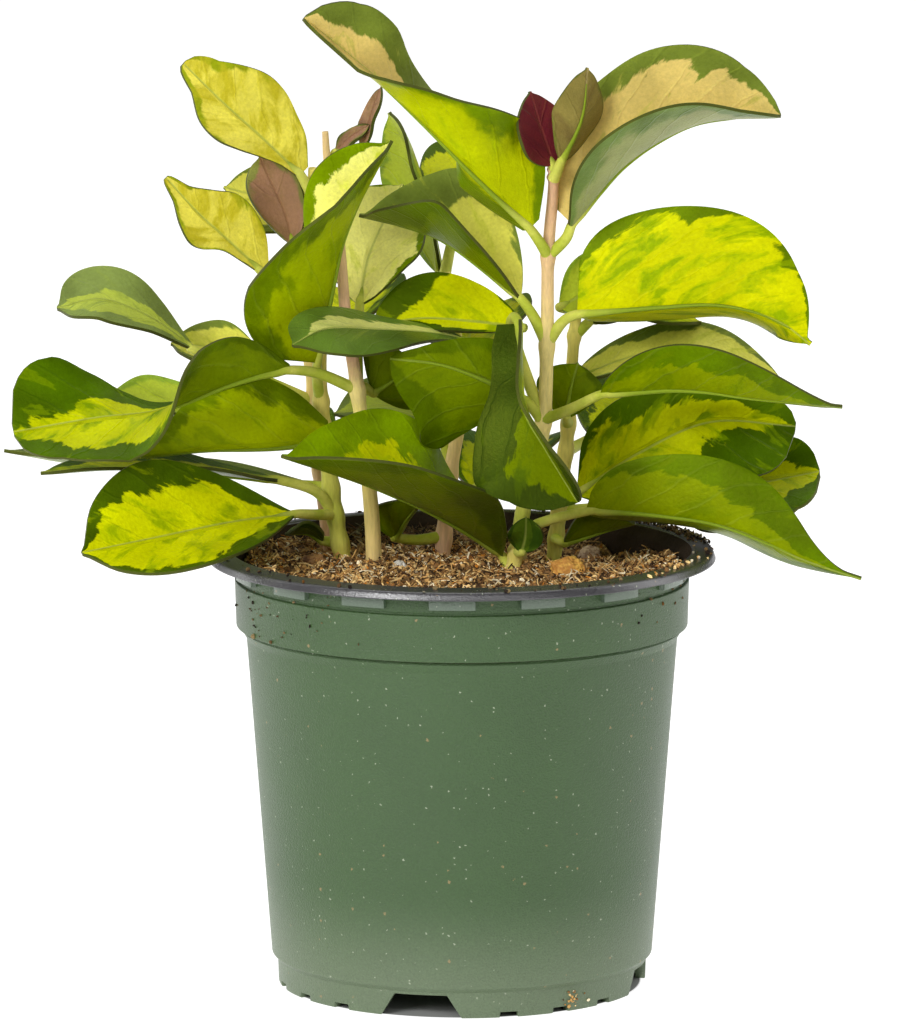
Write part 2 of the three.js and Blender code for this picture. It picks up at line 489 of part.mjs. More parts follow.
/** A cut across the foot, wider at the ground than at its top. */
function footCut(angle, top, foot, height) {
  const turn = new THREE.Matrix4().makeRotationZ(rad(angle));
  const ring = (y) => [[-foot / 2, -0.5], [foot / 2, -0.5], [top / 2, height], [-top / 2, height]]
    .map(([x, z]) => new THREE.Vector3(x, y, z).applyMatrix4(turn));
  return solid(skin([ring(-FOOT_INNER_R + 1.5), ring(-FOOT_TOP_R - 2)]));
}

function pot() {
  const profile = [
    [0, 0], [PAD_R, 0], [PAD_R + 0.5, FLOOR_UNDER], [FOOT_INNER_R - 0.5, FLOOR_UNDER],
    [FOOT_INNER_R, 0], [FOOT_R, 0], [FOOT_TOP_R, FOOT_H], [BODY_LOW_R, BODY_LOW_Z],
    [BODY_TOP_R, BODY_TOP_Z], [BAND_LOW_R, BAND_Z], [BAND_TOP_R, NECK_Z - 0.6], [NECK_R - 0.8, NECK_Z],
    [NECK_R - 0.8, LIP_UNDER], [LIP_R - 0.4, LIP_UNDER], [LIP_R, LIP_UNDER + 0.4], [LIP_R - 0.4, LIP_TOP - 0.5],
    [LIP_R - 1, LIP_TOP], [LIP_INNER_R, LIP_TOP], [NECK_R - WALL - 0.5, LIP_UNDER - 1.2],
    [BAND_LOW_R - WALL, BAND_Z], [BODY_TOP_R - WALL, BODY_TOP_Z],
    [BODY_LOW_R - WALL, BODY_LOW_Z + 1], [BODY_LOW_R - WALL - 1, FLOOR_TOP], [0, FLOOR_TOP],
  ].map(([r, z]) => new THREE.Vector2(r, z));
  const turned = new THREE.LatheGeometry(profile, POT_SIDES);
  turned.rotateX(Math.PI / 2);
  let body = fromGeometry(turned);
  for (let i = 0; i < LUGS; i++) {
    const angle = LUG_FIRST + (360 / LUGS) * i;
    body = body.add(arcBlock(angle, LUG_ARC, NECK_R - 1.2, NECK_R + LUG_OUT, NECK_Z - 0.3, LIP_UNDER + 0.3));
  }
  for (let i = 0; i < NOTCHES; i++) {
    const angle = NOTCH_FIRST + (360 / NOTCHES) * i;
    body = body.subtract(footCut(angle, NOTCH_TOP, NOTCH_FOOT, NOTCH_H));
    for (const step of SMALL_NOTCHES) {
      body = body.subtract(footCut(angle + step, SMALL_W, SMALL_W + 0.4, SMALL_H));
    }
  }
  return body;
}

// ---- soil ----
/** The height of the soil's surface at a place: lumps, and a hollow towards the back right. */
function soilHeight(x, y) {
  const lumps = Math.sin(0.31 * x + 1.3) * Math.cos(0.27 * y - 0.4) + 0.6 * Math.sin(0.55 * x - 0.47 * y + 2);
  const hollow = Math.exp(-(((x - 34) / 18) ** 2) - ((y - 30) / 15) ** 2);
  return SOIL_TOP + SOIL_BUMP * lumps - SOIL_DIP * hollow;
}

function soil() {
  const wall = [[0, FLOOR_TOP + GAP], [40.4, FLOOR_TOP + GAP], [41.3, 8.6], [46.9, 79], [48.8, 82.3]];
  const at = (r, j, z) => {
    const a = (2 * Math.PI * j) / SOIL_SIDES;
    const [x, y] = [r * Math.cos(a), r * Math.sin(a)];
    return new THREE.Vector3(x, y, z ?? soilHeight(x, y));
  };
  const out = [];
  const low = wall.slice(1).map(([r, z]) => [r, z]);
  const levels = [...low, ...SOIL_RINGS.toReversed().map((r) => [r])];
  const bottom = new THREE.Vector3(0, 0, FLOOR_TOP + GAP);
  const middle = new THREE.Vector3(0, 0, soilHeight(0, 0));
  for (let j = 0; j < SOIL_SIDES; j++) {
    out.push([bottom, at(...low[0].toSpliced(1, 0, j + 1)), at(...low[0].toSpliced(1, 0, j))]);
    for (let i = 0; i + 1 < levels.length; i++) {
      const [[r0, z0], [r1, z1]] = [levels[i], levels[i + 1]];
      const [a, b, c, d] = [at(r0, j, z0), at(r0, j + 1, z0), at(r1, j + 1, z1), at(r1, j, z1)];
      out.push([a, b, c], [a, c, d]);
    }
    const r = levels.at(-1)[0];
    out.push([at(r, j), at(r, j + 1), middle]);
  }
  return solid(out);
}

// ---- bits on the soil ----
/** A small rough lump; the same seed gives the same lump. */
function lump({ at, half, turn, seed }, grow = 0) {
  const geometry = new THREE.IcosahedronGeometry(1, 1);
  geometry.deleteAttribute("normal");
  geometry.deleteAttribute("uv");
  const ball = mergeVertices(geometry, 1e-4);
  const place = ball.attributes.position;
  const spin = new THREE.Matrix4().makeRotationZ(rad(turn));
  const height = soilHeight(...at) + half[2] * 0.35;
  for (let i = 0; i < place.count; i++) {
    const p = new THREE.Vector3().fromBufferAttribute(place, i);
    const rough = 1 + 0.13 * Math.sin(seed * 12.9898 + i * 78.233);
    p.set(p.x * half[0], p.y * half[1], p.z * half[2]).multiplyScalar(rough);
    p.addScaledVector(p.clone().normalize(), grow).applyMatrix4(spin);
    place.setXYZ(i, p.x + at[0], p.y + at[1], p.z + height);
  }
  return fromGeometry(ball);
}

// ---- the whole ----
const hoya = new THREE.Group();
hoya.name = "potted_hoya";
hoya.add(node("pot", pot(), 0x4f7a55, 0.5));
let bed = soil();
for (const name of Object.keys(STEMS)) bed = bed.subtract(rootHole(name));
for (const bit of Object.values(BITS)) bed = bed.subtract(lump(bit, GAP));
hoya.add(node("soil", bed, 0x5a4027, 1));
for (const name of Object.keys(STEMS)) hoya.add(node(name, leafyStem(name), 0x86a02a, 0.45));
for (const [name, bit] of Object.entries(BITS)) hoya.add(node(name, lump(bit), bit.color, 0.8));
export default hoya;
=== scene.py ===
"""A potted hoya: a nursery pot, its soil and seven leafy stems, dressed for a studio picture.

Lengths in the tables are millimetres in the CAD frame: Z up, X to the right, -Y to the front.
"""
import logging
import math
from dataclasses import dataclass, field
from enum import Enum, IntEnum
from typing import Callable, Sequence

import bpy
import numpy as np
from mathutils import Matrix, Vector, noise


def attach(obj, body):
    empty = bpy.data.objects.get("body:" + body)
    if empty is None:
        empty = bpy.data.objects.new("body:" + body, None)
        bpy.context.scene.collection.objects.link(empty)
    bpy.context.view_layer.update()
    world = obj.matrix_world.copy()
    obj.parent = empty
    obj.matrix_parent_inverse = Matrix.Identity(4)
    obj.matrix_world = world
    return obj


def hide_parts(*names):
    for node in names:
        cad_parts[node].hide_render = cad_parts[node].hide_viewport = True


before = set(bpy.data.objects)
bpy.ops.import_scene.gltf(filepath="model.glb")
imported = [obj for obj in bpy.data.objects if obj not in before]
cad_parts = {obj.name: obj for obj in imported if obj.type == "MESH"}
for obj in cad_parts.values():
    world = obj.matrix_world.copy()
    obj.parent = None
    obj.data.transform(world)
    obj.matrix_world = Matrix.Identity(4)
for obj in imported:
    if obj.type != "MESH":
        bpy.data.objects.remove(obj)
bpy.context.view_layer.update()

MM = 0.001
BODY = "root"
log = logging.getLogger("hoya")

Colour = tuple[float, float, float]
Point = tuple[float, float, float]
Pair = float | tuple[float, float]


# ---------------------------------------------------------------- meshes

def deselect_all() -> None:
    """Goes back to object mode with nothing selected."""
    if bpy.context.mode != "OBJECT":
        bpy.ops.object.mode_set(mode="OBJECT")
    bpy.ops.object.select_all(action="DESELECT")


def added(name: str) -> bpy.types.Object:
    """Names the primitive that was just added and gives it back.

    Args:
        name: its new name.

    Returns:
        The primitive.
    """
    piece = bpy.context.active_object
    piece.name = name
    piece.data.name = name
    return piece


def make_active(piece: bpy.types.Object) -> None:
    """Makes one object the only selected and the active one.

    Args:
        piece: the object.
    """
    deselect_all()
    piece.select_set(True)
    bpy.context.view_layer.objects.active = piece


def apply_modifiers(piece: bpy.types.Object) -> None:
    """Applies every modifier of a piece, first to last.

    Args:
        piece: the piece.
    """
    make_active(piece)
    for modifier in list(piece.modifiers):
        bpy.ops.object.modifier_apply(modifier=modifier.name)


def edit_all() -> None:
    """Goes into edit mode with the whole active piece selected."""
    bpy.ops.object.mode_set(mode="EDIT")
    bpy.ops.mesh.select_all(action="SELECT")


def close_outwards() -> None:
    """Turns every face of the piece in edit mode outwards, and leaves edit mode."""
    bpy.ops.mesh.select_all(action="SELECT")
    bpy.ops.mesh.normals_make_consistent(inside=False)
    bpy.ops.object.mode_set(mode="OBJECT")


def joined(name: str, pieces: Sequence[bpy.types.Object]) -> bpy.types.Object:
    """Joins pieces into the first one.

    Args:
        name: the joined piece's name.
        pieces: what is joined; the first one lives on.

    Returns:
        The joined piece.
    """
    deselect_all()
    for piece in pieces:
        piece.select_set(True)
    bpy.context.view_layer.objects.active = pieces[0]
    bpy.ops.object.join()
    return added(name)


def smooth(piece: bpy.types.Object, degrees: float = 40.0) -> None:
    """Shades a piece smooth, but for edges sharper than the angle."""
    make_active(piece)
    bpy.ops.object.shade_smooth_by_angle(angle=math.radians(degrees))


def points_of(piece: bpy.types.Object) -> np.ndarray:
    """The piece's vertices as rows.

    Args:
        piece: the piece.

    Returns:
        One row for each vertex, in metres.
    """
    flat = np.empty(len(piece.data.vertices) * 3)
    piece.data.vertices.foreach_get("co", flat)
    return flat.reshape(-1, 3)


def move_points(piece: bpy.types.Object, points: np.ndarray) -> None:
    """Puts the piece's vertices at the given rows."""
    piece.data.vertices.foreach_set("co", np.ascontiguousarray(points, dtype=np.float32).ravel())
    piece.data.update()


def through(points: Sequence[Point], t: np.ndarray) -> np.ndarray:
    """Points along the smooth curve through some points, its ends mirrored.

    Args:
        points: the points the curve passes through.
        t: places along it, 0 to 1.

    Returns:
        One row for each place.
    """
    given = np.array(points, float)
    if len(given) == 2:
        return given[0] * (1 - t)[:, None] + given[1] * t[:, None]
    spans = len(given) - 1
    x = np.clip(t, 0, 1) * spans
    i = np.minimum(x.astype(int), spans - 1)
    u = (x - i)[:, None]
    row = np.vstack([2 * given[0] - given[1], given, 2 * given[-1] - given[-2]])
    a, b, c, d = row[i], row[i + 1], row[i + 2], row[i + 3]
    return 0.5 * (2 * b + (c - a) * u + (2 * a - 5 * b + 4 * c - d) * u ** 2
                  + (3 * b - a - 3 * c + d) * u ** 3)


def unit(rows: np.ndarray) -> np.ndarray:
    """Rows scaled to length one."""
    return rows / np.maximum(np.linalg.norm(rows, axis=-1, keepdims=True), 1e-9)


def mixed_along(rows: Sequence[Sequence[float]], t: np.ndarray) -> np.ndarray:
    """The rows of a list mixed in turn along t.

    Args:
        rows: the rows, at even steps.
        t: places along them, 0 to 1.

    Returns:
        One row for each place.
    """
    given = np.array(rows, float)
    if len(given) == 1:
        return np.repeat(given, len(t), axis=0)
    x = np.clip(t, 0, 1) * (len(given) - 1)
    i = np.minimum(x.astype(int), len(given) - 2)
    u = (x - i)[:, None]
    return given[i] * (1 - u) + given[i + 1] * u


def pair(value: Pair) -> tuple[float, float]:
    """A value for left and right of the midrib."""
    return value if isinstance(value, tuple) else (value, value)


def tube(name: str, path: Callable[[np.ndarray], np.ndarray], radius: Callable[[np.ndarray], np.ndarray],
         sides: int, steps: int) -> bpy.types.Object:
    """A closed round stalk along a path.

    Args:
        name: the object's name.
        path: gives points in mm for places 0 to 1.
        radius: gives radii in mm for the same places.
        sides: faces around.
        steps: rings along.

    Returns:
        The stalk, its points in metres.
    """
    deselect_all()
    bpy.ops.mesh.primitive_grid_add(x_subdivisions=sides, y_subdivisions=steps, size=2)
    stalk = added(name)
    flat = points_of(stalk)
    t_row = np.linspace(0, 1, steps + 1)
    middle = path(t_row)
    along = unit(np.gradient(middle, axis=0))
    side = np.cross(along[0], (0.1, 0.3, -1.0) if abs(along[0][2]) < 0.7 else (0, 1, 0.1))
    sides_of, ups = [], []
    for forward in along:
        side = side - forward * side.dot(forward)
        side = side / np.linalg.norm(side)
        sides_of.append(side)
        ups.append(np.cross(forward, side))
    ring = np.rint((flat[:, 1] + 1) / 2 * steps).astype(int)
    turn = (flat[:, 0] + 1) * math.pi
    reach = radius(t_row)[ring]
    at = middle[ring] + np.array(sides_of)[ring] * (reach * np.cos(turn))[:, None] \
        + np.array(ups)[ring] * (reach * np.sin(turn))[:, None]
    move_points(stalk, at * MM)
    edit_all()
    bpy.ops.mesh.remove_doubles(threshold=1e-6)
    bpy.ops.mesh.fill_holes(sides=0)
    close_outwards()
    return stalk


def own(piece: bpy.types.Object, slot: str, *nodes: str) -> None:
    """Hands a finished piece to the frame: it rides with the body and stands for its nodes.

    Args:
        piece: the finished piece.
        slot: not used.
        nodes: the CAD nodes it stands for.
    """
    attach(piece, BODY)
    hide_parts(*nodes)
    log.info("%s: %d faces for %s", piece.name, len(piece.data.polygons), ", ".join(nodes))


# ---------------------------------------------------------------- node trees

class Bench:
    """Adds and joins the nodes of one material or node group."""

    def __init__(self, tree: bpy.types.NodeTree) -> None:
        """Works on the given tree."""
        self.tree = tree
        self.place = 0

    def node(self, kind: str, settings: dict | None = None, **inputs: object) -> bpy.types.Node:
        """Adds a node.

        Args:
            kind: the node's type name.
            settings: attributes to set on it.
            inputs: socket names, with spaces as underscores; a socket is joined, a value is set.

        Returns:
            The node.
        """
        made = self.tree.nodes.new(kind)
        made.location = (self.place * 180, -(self.place % 5) * 160)
        self.place += 1
        for key, value in (settings or {}).items():
            setattr(made, key, value)
        for key, value in inputs.items():
            self.feed(made.inputs[key.replace("_", " ")], value)
        return made

    def feed(self, socket: bpy.types.NodeSocket, value: object) -> None:
        """Joins a socket to a socket, or sets its value.

        Args:
            socket: the input.
            value: a socket to join, or a value to set.
        """
        if isinstance(value, bpy.types.NodeSocket):
            self.tree.links.new(value, socket)
        elif isinstance(value, tuple) and socket.type == "RGBA" and len(value) == 3:
            socket.default_value = (*value, 1.0)
        else:
            socket.default_value = value

    def math(self, operation: str, a: object, b: object = 0.0, c: object = 0.0,
             clamp: bool = False) -> bpy.types.NodeSocket:
        """One Math node.

        Args:
            operation: what it works out.
            a: its first input, a socket or a value.
            b: its second input.
            c: its third input.
            clamp: whether the result is kept between 0 and 1.

        Returns:
            Its output.
        """
        made = self.node("ShaderNodeMath", {"operation": operation, "use_clamp": clamp})
        for socket, value in zip(made.inputs, (a, b, c)):
            self.feed(socket, value)
        return made.outputs[0]

    def step(self, value: object, low: object, high: object, out_low: float = 0.0,
             out_high: float = 1.0) -> bpy.types.NodeSocket:
        """A smooth step of a value from out_low at low to out_high at high.

        Args:
            value: the value that is read.
            low: where the step starts.
            high: where it ends.
            out_low: what comes out up to low.
            out_high: what comes out from high on.

        Returns:
            Its output.
        """
        made = self.node("ShaderNodeMapRange", {"interpolation_type": "SMOOTHSTEP"}, Value=value)
        for key, given in (("From Min", low), ("From Max", high), ("To Min", out_low), ("To Max", out_high)):
            self.feed(made.inputs[key], given)
        return made.outputs[0]

    def mix(self, factor: object, a: object, b: object, blend: str = "MIX") -> bpy.types.NodeSocket:
        """A colour mix.

        Args:
            factor: the share of b.
            a: the first colour.
            b: the second colour.
            blend: the way they are blended.

        Returns:
            The mixed colour.
        """
        made = self.node("ShaderNodeMix", {"data_type": "RGBA", "blend_type": blend})
        self.feed(made.inputs[0], factor)
        self.feed(made.inputs[6], a)
        self.feed(made.inputs[7], b)
        return made.outputs[2]

    def noise(self, vector: object, scale: float, detail: float = 3.0, rough: float = 0.5,
              twist: float = 0.0) -> bpy.types.NodeSocket:
        """A noise value, 0 to 1.

        Args:
            vector: where it is read.
            scale: how fine it is.
            detail: how many finer layers it has.
            rough: how strong those are.
            twist: how far it is warped.

        Returns:
            Its output.
        """
        made = self.node("ShaderNodeTexNoise", None, Vector=vector, Scale=scale, Detail=detail,
                         Roughness=rough, Distortion=twist)
        return made.outputs[0]

    def split(self, vector: object) -> tuple[bpy.types.NodeSocket, ...]:
        """The three parts of a vector."""
        return tuple(self.node("ShaderNodeSeparateXYZ", None, Vector=vector).outputs)

    def vector(self, x: object, y: object, z: object) -> bpy.types.NodeSocket:
        """A vector of three values."""
        return self.node("ShaderNodeCombineXYZ", None, X=x, Y=y, Z=z).outputs[0]

    def shifted(self, vector: object, scale: Point, offset: Point) -> bpy.types.NodeSocket:
        """A vector stretched and moved, so that the same noise reads another place.

        Args:
            vector: the vector.
            scale: how far each part is stretched.
            offset: how far it is moved after that.

        Returns:
            The new vector.
        """
        made = self.node("ShaderNodeVectorMath", {"operation": "MULTIPLY_ADD"})
        for socket, value in zip(made.inputs, (vector, scale, offset)):
            self.feed(socket, value)
        return made.outputs[0]

    def bump(self, height: object, strength: float, distance: float) -> bpy.types.NodeSocket:
        """A normal bent by a height, its distance in metres."""
        return self.node("ShaderNodeBump", None, Height=height, Strength=strength,
                         Distance=distance).outputs[0]


def new_group(name: str, inputs: dict[str, float], outputs: Sequence[str]
              ) -> tuple[bpy.types.NodeTree, Bench, bpy.types.Node, bpy.types.Node]:
    """Starts a node group whose sockets are all plain values.

    Args:
        name: the group's name.
        inputs: its inputs, with the values they start from.
        outputs: its outputs.

    Returns:
        The tree, its bench, and its input and output nodes.
    """
    tree = bpy.data.node_groups.new(name, "ShaderNodeTree")
    for key, value in inputs.items():
        tree.interface.new_socket(key, in_out="INPUT", socket_type="NodeSocketFloat").default_value = value
    for key in outputs:
        tree.interface.new_socket(key, in_out="OUTPUT", socket_type="NodeSocketFloat")
    bench = Bench(tree)
    return tree, bench, bench.node("NodeGroupInput"), bench.node("NodeGroupOutput")


def new_material(name: str) -> tuple[bpy.types.Material, Bench, bpy.types.Node]:
    """A fresh material with its bench and its Principled shader.

    Args:
        name: the material's name.

    Returns:
        The material, its bench and its shader.
    """
    material = bpy.data.materials.new(name)
    material.use_nodes = True
    material.node_tree.nodes.clear()
    bench = Bench(material.node_tree)
    shader = bench.node("ShaderNodeBsdfPrincipled")
    out = bench.node("ShaderNodeOutputMaterial")
    bench.tree.links.new(shader.outputs[0], out.inputs[0])
    return material, bench, shader


def leaf_pattern_group() -> bpy.types.NodeTree:
    """The markings of a variegated leaf, from its own across and along distances in mm.

    Returns:
        A group giving the green border, the flecks and their cores, the rib and side veins, and a fine
        and a broad unevenness.
    """
    tree, bench, given, out = new_group(
        "leaf_pattern", {"Ragged": 0.5, "Flecks": 0.5, "Soft": 0.04, "Stretch": 1.0, "Shift": 0.0},
        ("Border", "Flecks", "Cores", "Rib", "Veins", "Mottle", "Drift"))
    streak_length, streak_width, blot_size = 0.062, 0.155, 0.06
    across_share, along_share = 0.6, 0.8
    blade = bench.node("ShaderNodeAttribute", {"attribute_name": "blade"}).outputs["Vector"]
    share = bench.node("ShaderNodeAttribute", {"attribute_name": "share"}).outputs["Vector"]
    across, along, seed = bench.split(blade)
    border, run, side = bench.split(share)
    from_rib = bench.math("ABSOLUTE", across)
    seed = bench.math("ADD", bench.math("MULTIPLY_ADD", side, 17.0, seed), given.outputs["Shift"])
    streak_run = bench.math("MULTIPLY_ADD", from_rib, across_share,
                            bench.math("MULTIPLY", along, along_share))
    streak_cross = bench.math("MULTIPLY_ADD", from_rib, -along_share,
                              bench.math("MULTIPLY", along, across_share))
    run_scale = bench.math("DIVIDE", streak_length, given.outputs["Stretch"])
    streak = bench.vector(bench.math("MULTIPLY", streak_run, run_scale),
                          bench.math("MULTIPLY", streak_cross, streak_width), seed)
    blot = bench.vector(bench.math("MULTIPLY", across, blot_size),
                        bench.math("MULTIPLY", along, blot_size), seed)
    streaks = bench.noise(streak, 1.0, 6.0, 0.64, 0.4)
    blots = bench.noise(blot, 1.0, 4.0, 0.55)
    value = border
    for wander, part in ((streaks, 1.5), (blots, 1.3)):
        swing = bench.math("MULTIPLY", bench.math("SUBTRACT", wander, 0.5), given.outputs["Ragged"])
        value = bench.math("MULTIPLY_ADD", swing, part, value)
    soft = given.outputs["Soft"]
    edge = bench.step(value, bench.math("MULTIPLY", soft, -1.0), soft)
    patches = bench.noise(bench.shifted(streak, (1.5, 1.6, 1.0), (31.0, 7.0, 3.0)), 1.0, 6.0, 0.6, 0.5)
    level = bench.math("MULTIPLY_ADD", given.outputs["Flecks"], -0.3, 0.7)
    flecks = bench.step(patches, bench.math("SUBTRACT", level, soft), bench.math("ADD", level, soft))
    deep = bench.math("ADD", level, 0.07)
    cores = bench.step(patches, bench.math("SUBTRACT", deep, soft), bench.math("ADD", deep, soft))
    rib = bench.step(from_rib, bench.math("MULTIPLY_ADD", run, -0.3, 0.6), 0.1)
    fan = bench.math("MULTIPLY_ADD", streak_cross, 0.16, bench.math("MULTIPLY", blots, 1.1))
    ridge = bench.math("ABSOLUTE", bench.math("SUBTRACT", bench.math("FRACT", fan), 0.5))
    veins = bench.step(ridge, 0.07, 0.0)
    mottle = bench.noise(bench.vector(across, along, seed), 1.3, 4.0, 0.65)
    drift = bench.noise(blot, 1.3, 3.0, 0.5)
    for name, socket in (("Border", edge), ("Flecks", flecks), ("Cores", cores), ("Rib", rib),
                         ("Veins", veins), ("Mottle", mottle), ("Drift", drift)):
        bench.feed(out.inputs[name], socket)
    return tree


def grain_group() -> bpy.types.NodeTree:
    """Fine and broad unevenness of a solid, on Object coordinates in mm.

    Returns:
        A group giving the fine and broad unevenness, large specks and small ones.
    """
    tree, bench, given, out = new_group("grain", {"Fine": 1.0, "Broad": 0.1},
                                        ("Fine", "Broad", "Specks", "Dust"))
    place = bench.node("ShaderNodeTexCoord").outputs["Object"]
    in_mm = bench.node("ShaderNodeVectorMath", {"operation": "SCALE"}, Vector=place, Scale=1000.0).outputs[0]
    ragged = bench.node("ShaderNodeTexNoise", None, Vector=in_mm, Scale=2.6, Detail=2.0).outputs["Color"]
    ragged = bench.node("ShaderNodeVectorMath", {"operation": "MULTIPLY_ADD"}, Vector=ragged)
    bench.feed(ragged.inputs[1], (0.8, 0.8, 0.8))
    bench.tree.links.new(in_mm, ragged.inputs[2])
    fine = bench.node("ShaderNodeTexNoise", None, Vector=in_mm, Scale=given.outputs["Fine"], Detail=4.0)
    broad = bench.node("ShaderNodeTexNoise", None, Vector=in_mm, Scale=given.outputs["Broad"], Detail=3.0)
    for name, size, rarity in (("Specks", 0.8, 0.72), ("Dust", 0.42, 0.8)):
        cells = bench.node("ShaderNodeTexVoronoi", {"feature": "F1"}, Vector=ragged.outputs[0], Scale=size)
        pick = bench.split(cells.outputs["Color"])[0]
        reach = bench.step(pick, rarity, 1.0, 0.05, 0.2)
        dot = bench.step(cells.outputs["Distance"], reach, bench.math("MULTIPLY", reach, 0.6))
        bench.feed(out.inputs[name], bench.math("MULTIPLY", dot, bench.step(pick, rarity, rarity + 0.02)))
    bench.feed(out.inputs["Fine"], fine.outputs[0])
    bench.feed(out.inputs["Broad"], broad.outputs[0])
    return tree


LEAF_PATTERN = leaf_pattern_group()
GRAIN = grain_group()


# ---------------------------------------------------------------- finishes

class Look(Enum):
    """The ways a side of a leaf of this plant is coloured."""

    YELLOW = "yellow"
    MEADOW = "meadow"
    JADE = "jade"
    POOL = "pool"
    FRESH = "fresh"
    GOLD = "gold"
    TAN = "tan"
    SAGE = "sage"
    CREAM = "cream"
    LIME = "lime"
    DEEP = "deep"
    STRIPED = "striped"
    GREY = "grey"
    DARK = "dark"
    RED = "red"
    BROWN = "brown"
    FERN = "fern"
    MOSS = "moss"
    GLOW = "glow"
    SHADE = "shade"
    RUSSET = "russet"


def leafy_glow(shader: bpy.types.Node) -> None:
    """The light a leaf lets through, and its waxy gloss.

    Args:
        shader: the Principled shader.
    """
    shader.inputs["Subsurface Weight"].default_value = 0.1
    shader.inputs["Subsurface Radius"].default_value = (1.0, 0.9, 0.15)
    shader.inputs["Subsurface Scale"].default_value = 0.0015
    shader.inputs["Specular IOR Level"].default_value = 0.22
    shader.inputs["Specular Tint"].default_value = (0.85, 1.0, 0.08, 1.0)


@dataclass(frozen=True)
class LeafFinish:
    """One side of a leaf: its pale middle, the green flecks on it, and its green border."""

    centre: Colour
    fleck: Colour
    border: Colour
    flecks: float = 0.4
    ragged: float = 0.7
    soft: float = 0.035
    stretch: float = 1.0
    rib: Colour = (0.36, 0.42, 0.08)
    rib_share: float = 0.6
    rough: float = 0.34
    vein_share: float = 0.0
    shift: float = 0.0

    def dress(self, name: str) -> bpy.types.Material:
        """Makes the material.

        Args:
            name: the material's name.

        Returns:
            The material.
        """
        material, bench, shader = new_material(name)
        marks = bench.node("ShaderNodeGroup", {"node_tree": LEAF_PATTERN}, Ragged=self.ragged, Soft=self.soft,
                           Flecks=self.flecks, Stretch=self.stretch, Shift=self.shift).outputs
        drift = bench.step(marks["Drift"], 0.3, 0.7)
        pale = bench.mix(drift, tuple(0.8 * c for c in self.centre), tuple(1.06 * c for c in self.centre))
        half_way = tuple(0.45 * c + 0.55 * f for c, f in zip(self.centre, self.fleck))
        colour = bench.mix(marks["Flecks"], pale, half_way)
        colour = bench.mix(marks["Cores"], colour, self.fleck)
        tone = bench.mix(drift, tuple(0.75 * c for c in self.border), tuple(1.35 * c for c in self.border))
        tone = bench.mix(bench.math("MULTIPLY", marks["Cores"], 0.5), tone, self.fleck)
        colour = bench.mix(marks["Border"], colour, tone)
        if self.vein_share:
            colour = bench.mix(bench.math("MULTIPLY", marks["Veins"], self.vein_share), colour, self.rib)
        colour = bench.mix(bench.math("MULTIPLY", marks["Rib"], self.rib_share), colour, self.rib)
        lift = bench.math("MULTIPLY_ADD", marks["Mottle"], 0.56, 0.72)
        colour = bench.mix(1.0, colour, bench.vector(lift, lift, lift), "MULTIPLY")
        height = bench.math("MULTIPLY_ADD", marks["Veins"], 0.4, bench.math("MULTIPLY", marks["Mottle"], 0.6))
        height = bench.math("MULTIPLY_ADD", marks["Rib"], -0.5, height)
        bench.feed(shader.inputs["Base Color"], colour)
        bench.feed(shader.inputs["Roughness"],
                   bench.math("MULTIPLY_ADD", marks["Mottle"], 0.2, self.rough - 0.1))
        bench.feed(shader.inputs["Normal"], bench.bump(height, 0.6, 0.0004))
        leafy_glow(shader)
        return material


@dataclass(frozen=True)
class StalkFinish:
    """A smooth fleshy stalk, its colour drifting between two tones."""

    pale: Colour
    deep: Colour
    end: Colour = (0.2, 0.28, 0.02)

    def dress(self, name: str) -> bpy.types.Material:
        """Makes the material.

        Args:
            name: the material's name.

        Returns:
            The material.
        """
        material, bench, shader = new_material(name)
        grain = bench.node("ShaderNodeGroup", {"node_tree": GRAIN}, Fine=1.6, Broad=0.14).outputs
        colour = bench.mix(bench.step(grain["Broad"], 0.36, 0.64), self.pale, self.deep)
        share = bench.node("ShaderNodeAttribute", {"attribute_name": "share"}).outputs["Vector"]
        colour = bench.mix(bench.step(bench.split(share)[1], 0.0, 0.4), colour, self.end)
        lift = bench.math("MULTIPLY_ADD", grain["Fine"], 0.3, 0.85)
        bench.feed(shader.inputs["Base Color"],
                   bench.mix(1.0, colour, bench.vector(lift, lift, lift), "MULTIPLY"))
        bench.feed(shader.inputs["Roughness"], bench.math("MULTIPLY_ADD", grain["Fine"], 0.2, 0.32))
        bench.feed(shader.inputs["Normal"], bench.bump(grain["Fine"], 0.3, 0.0002))
        leafy_glow(shader)
        return material


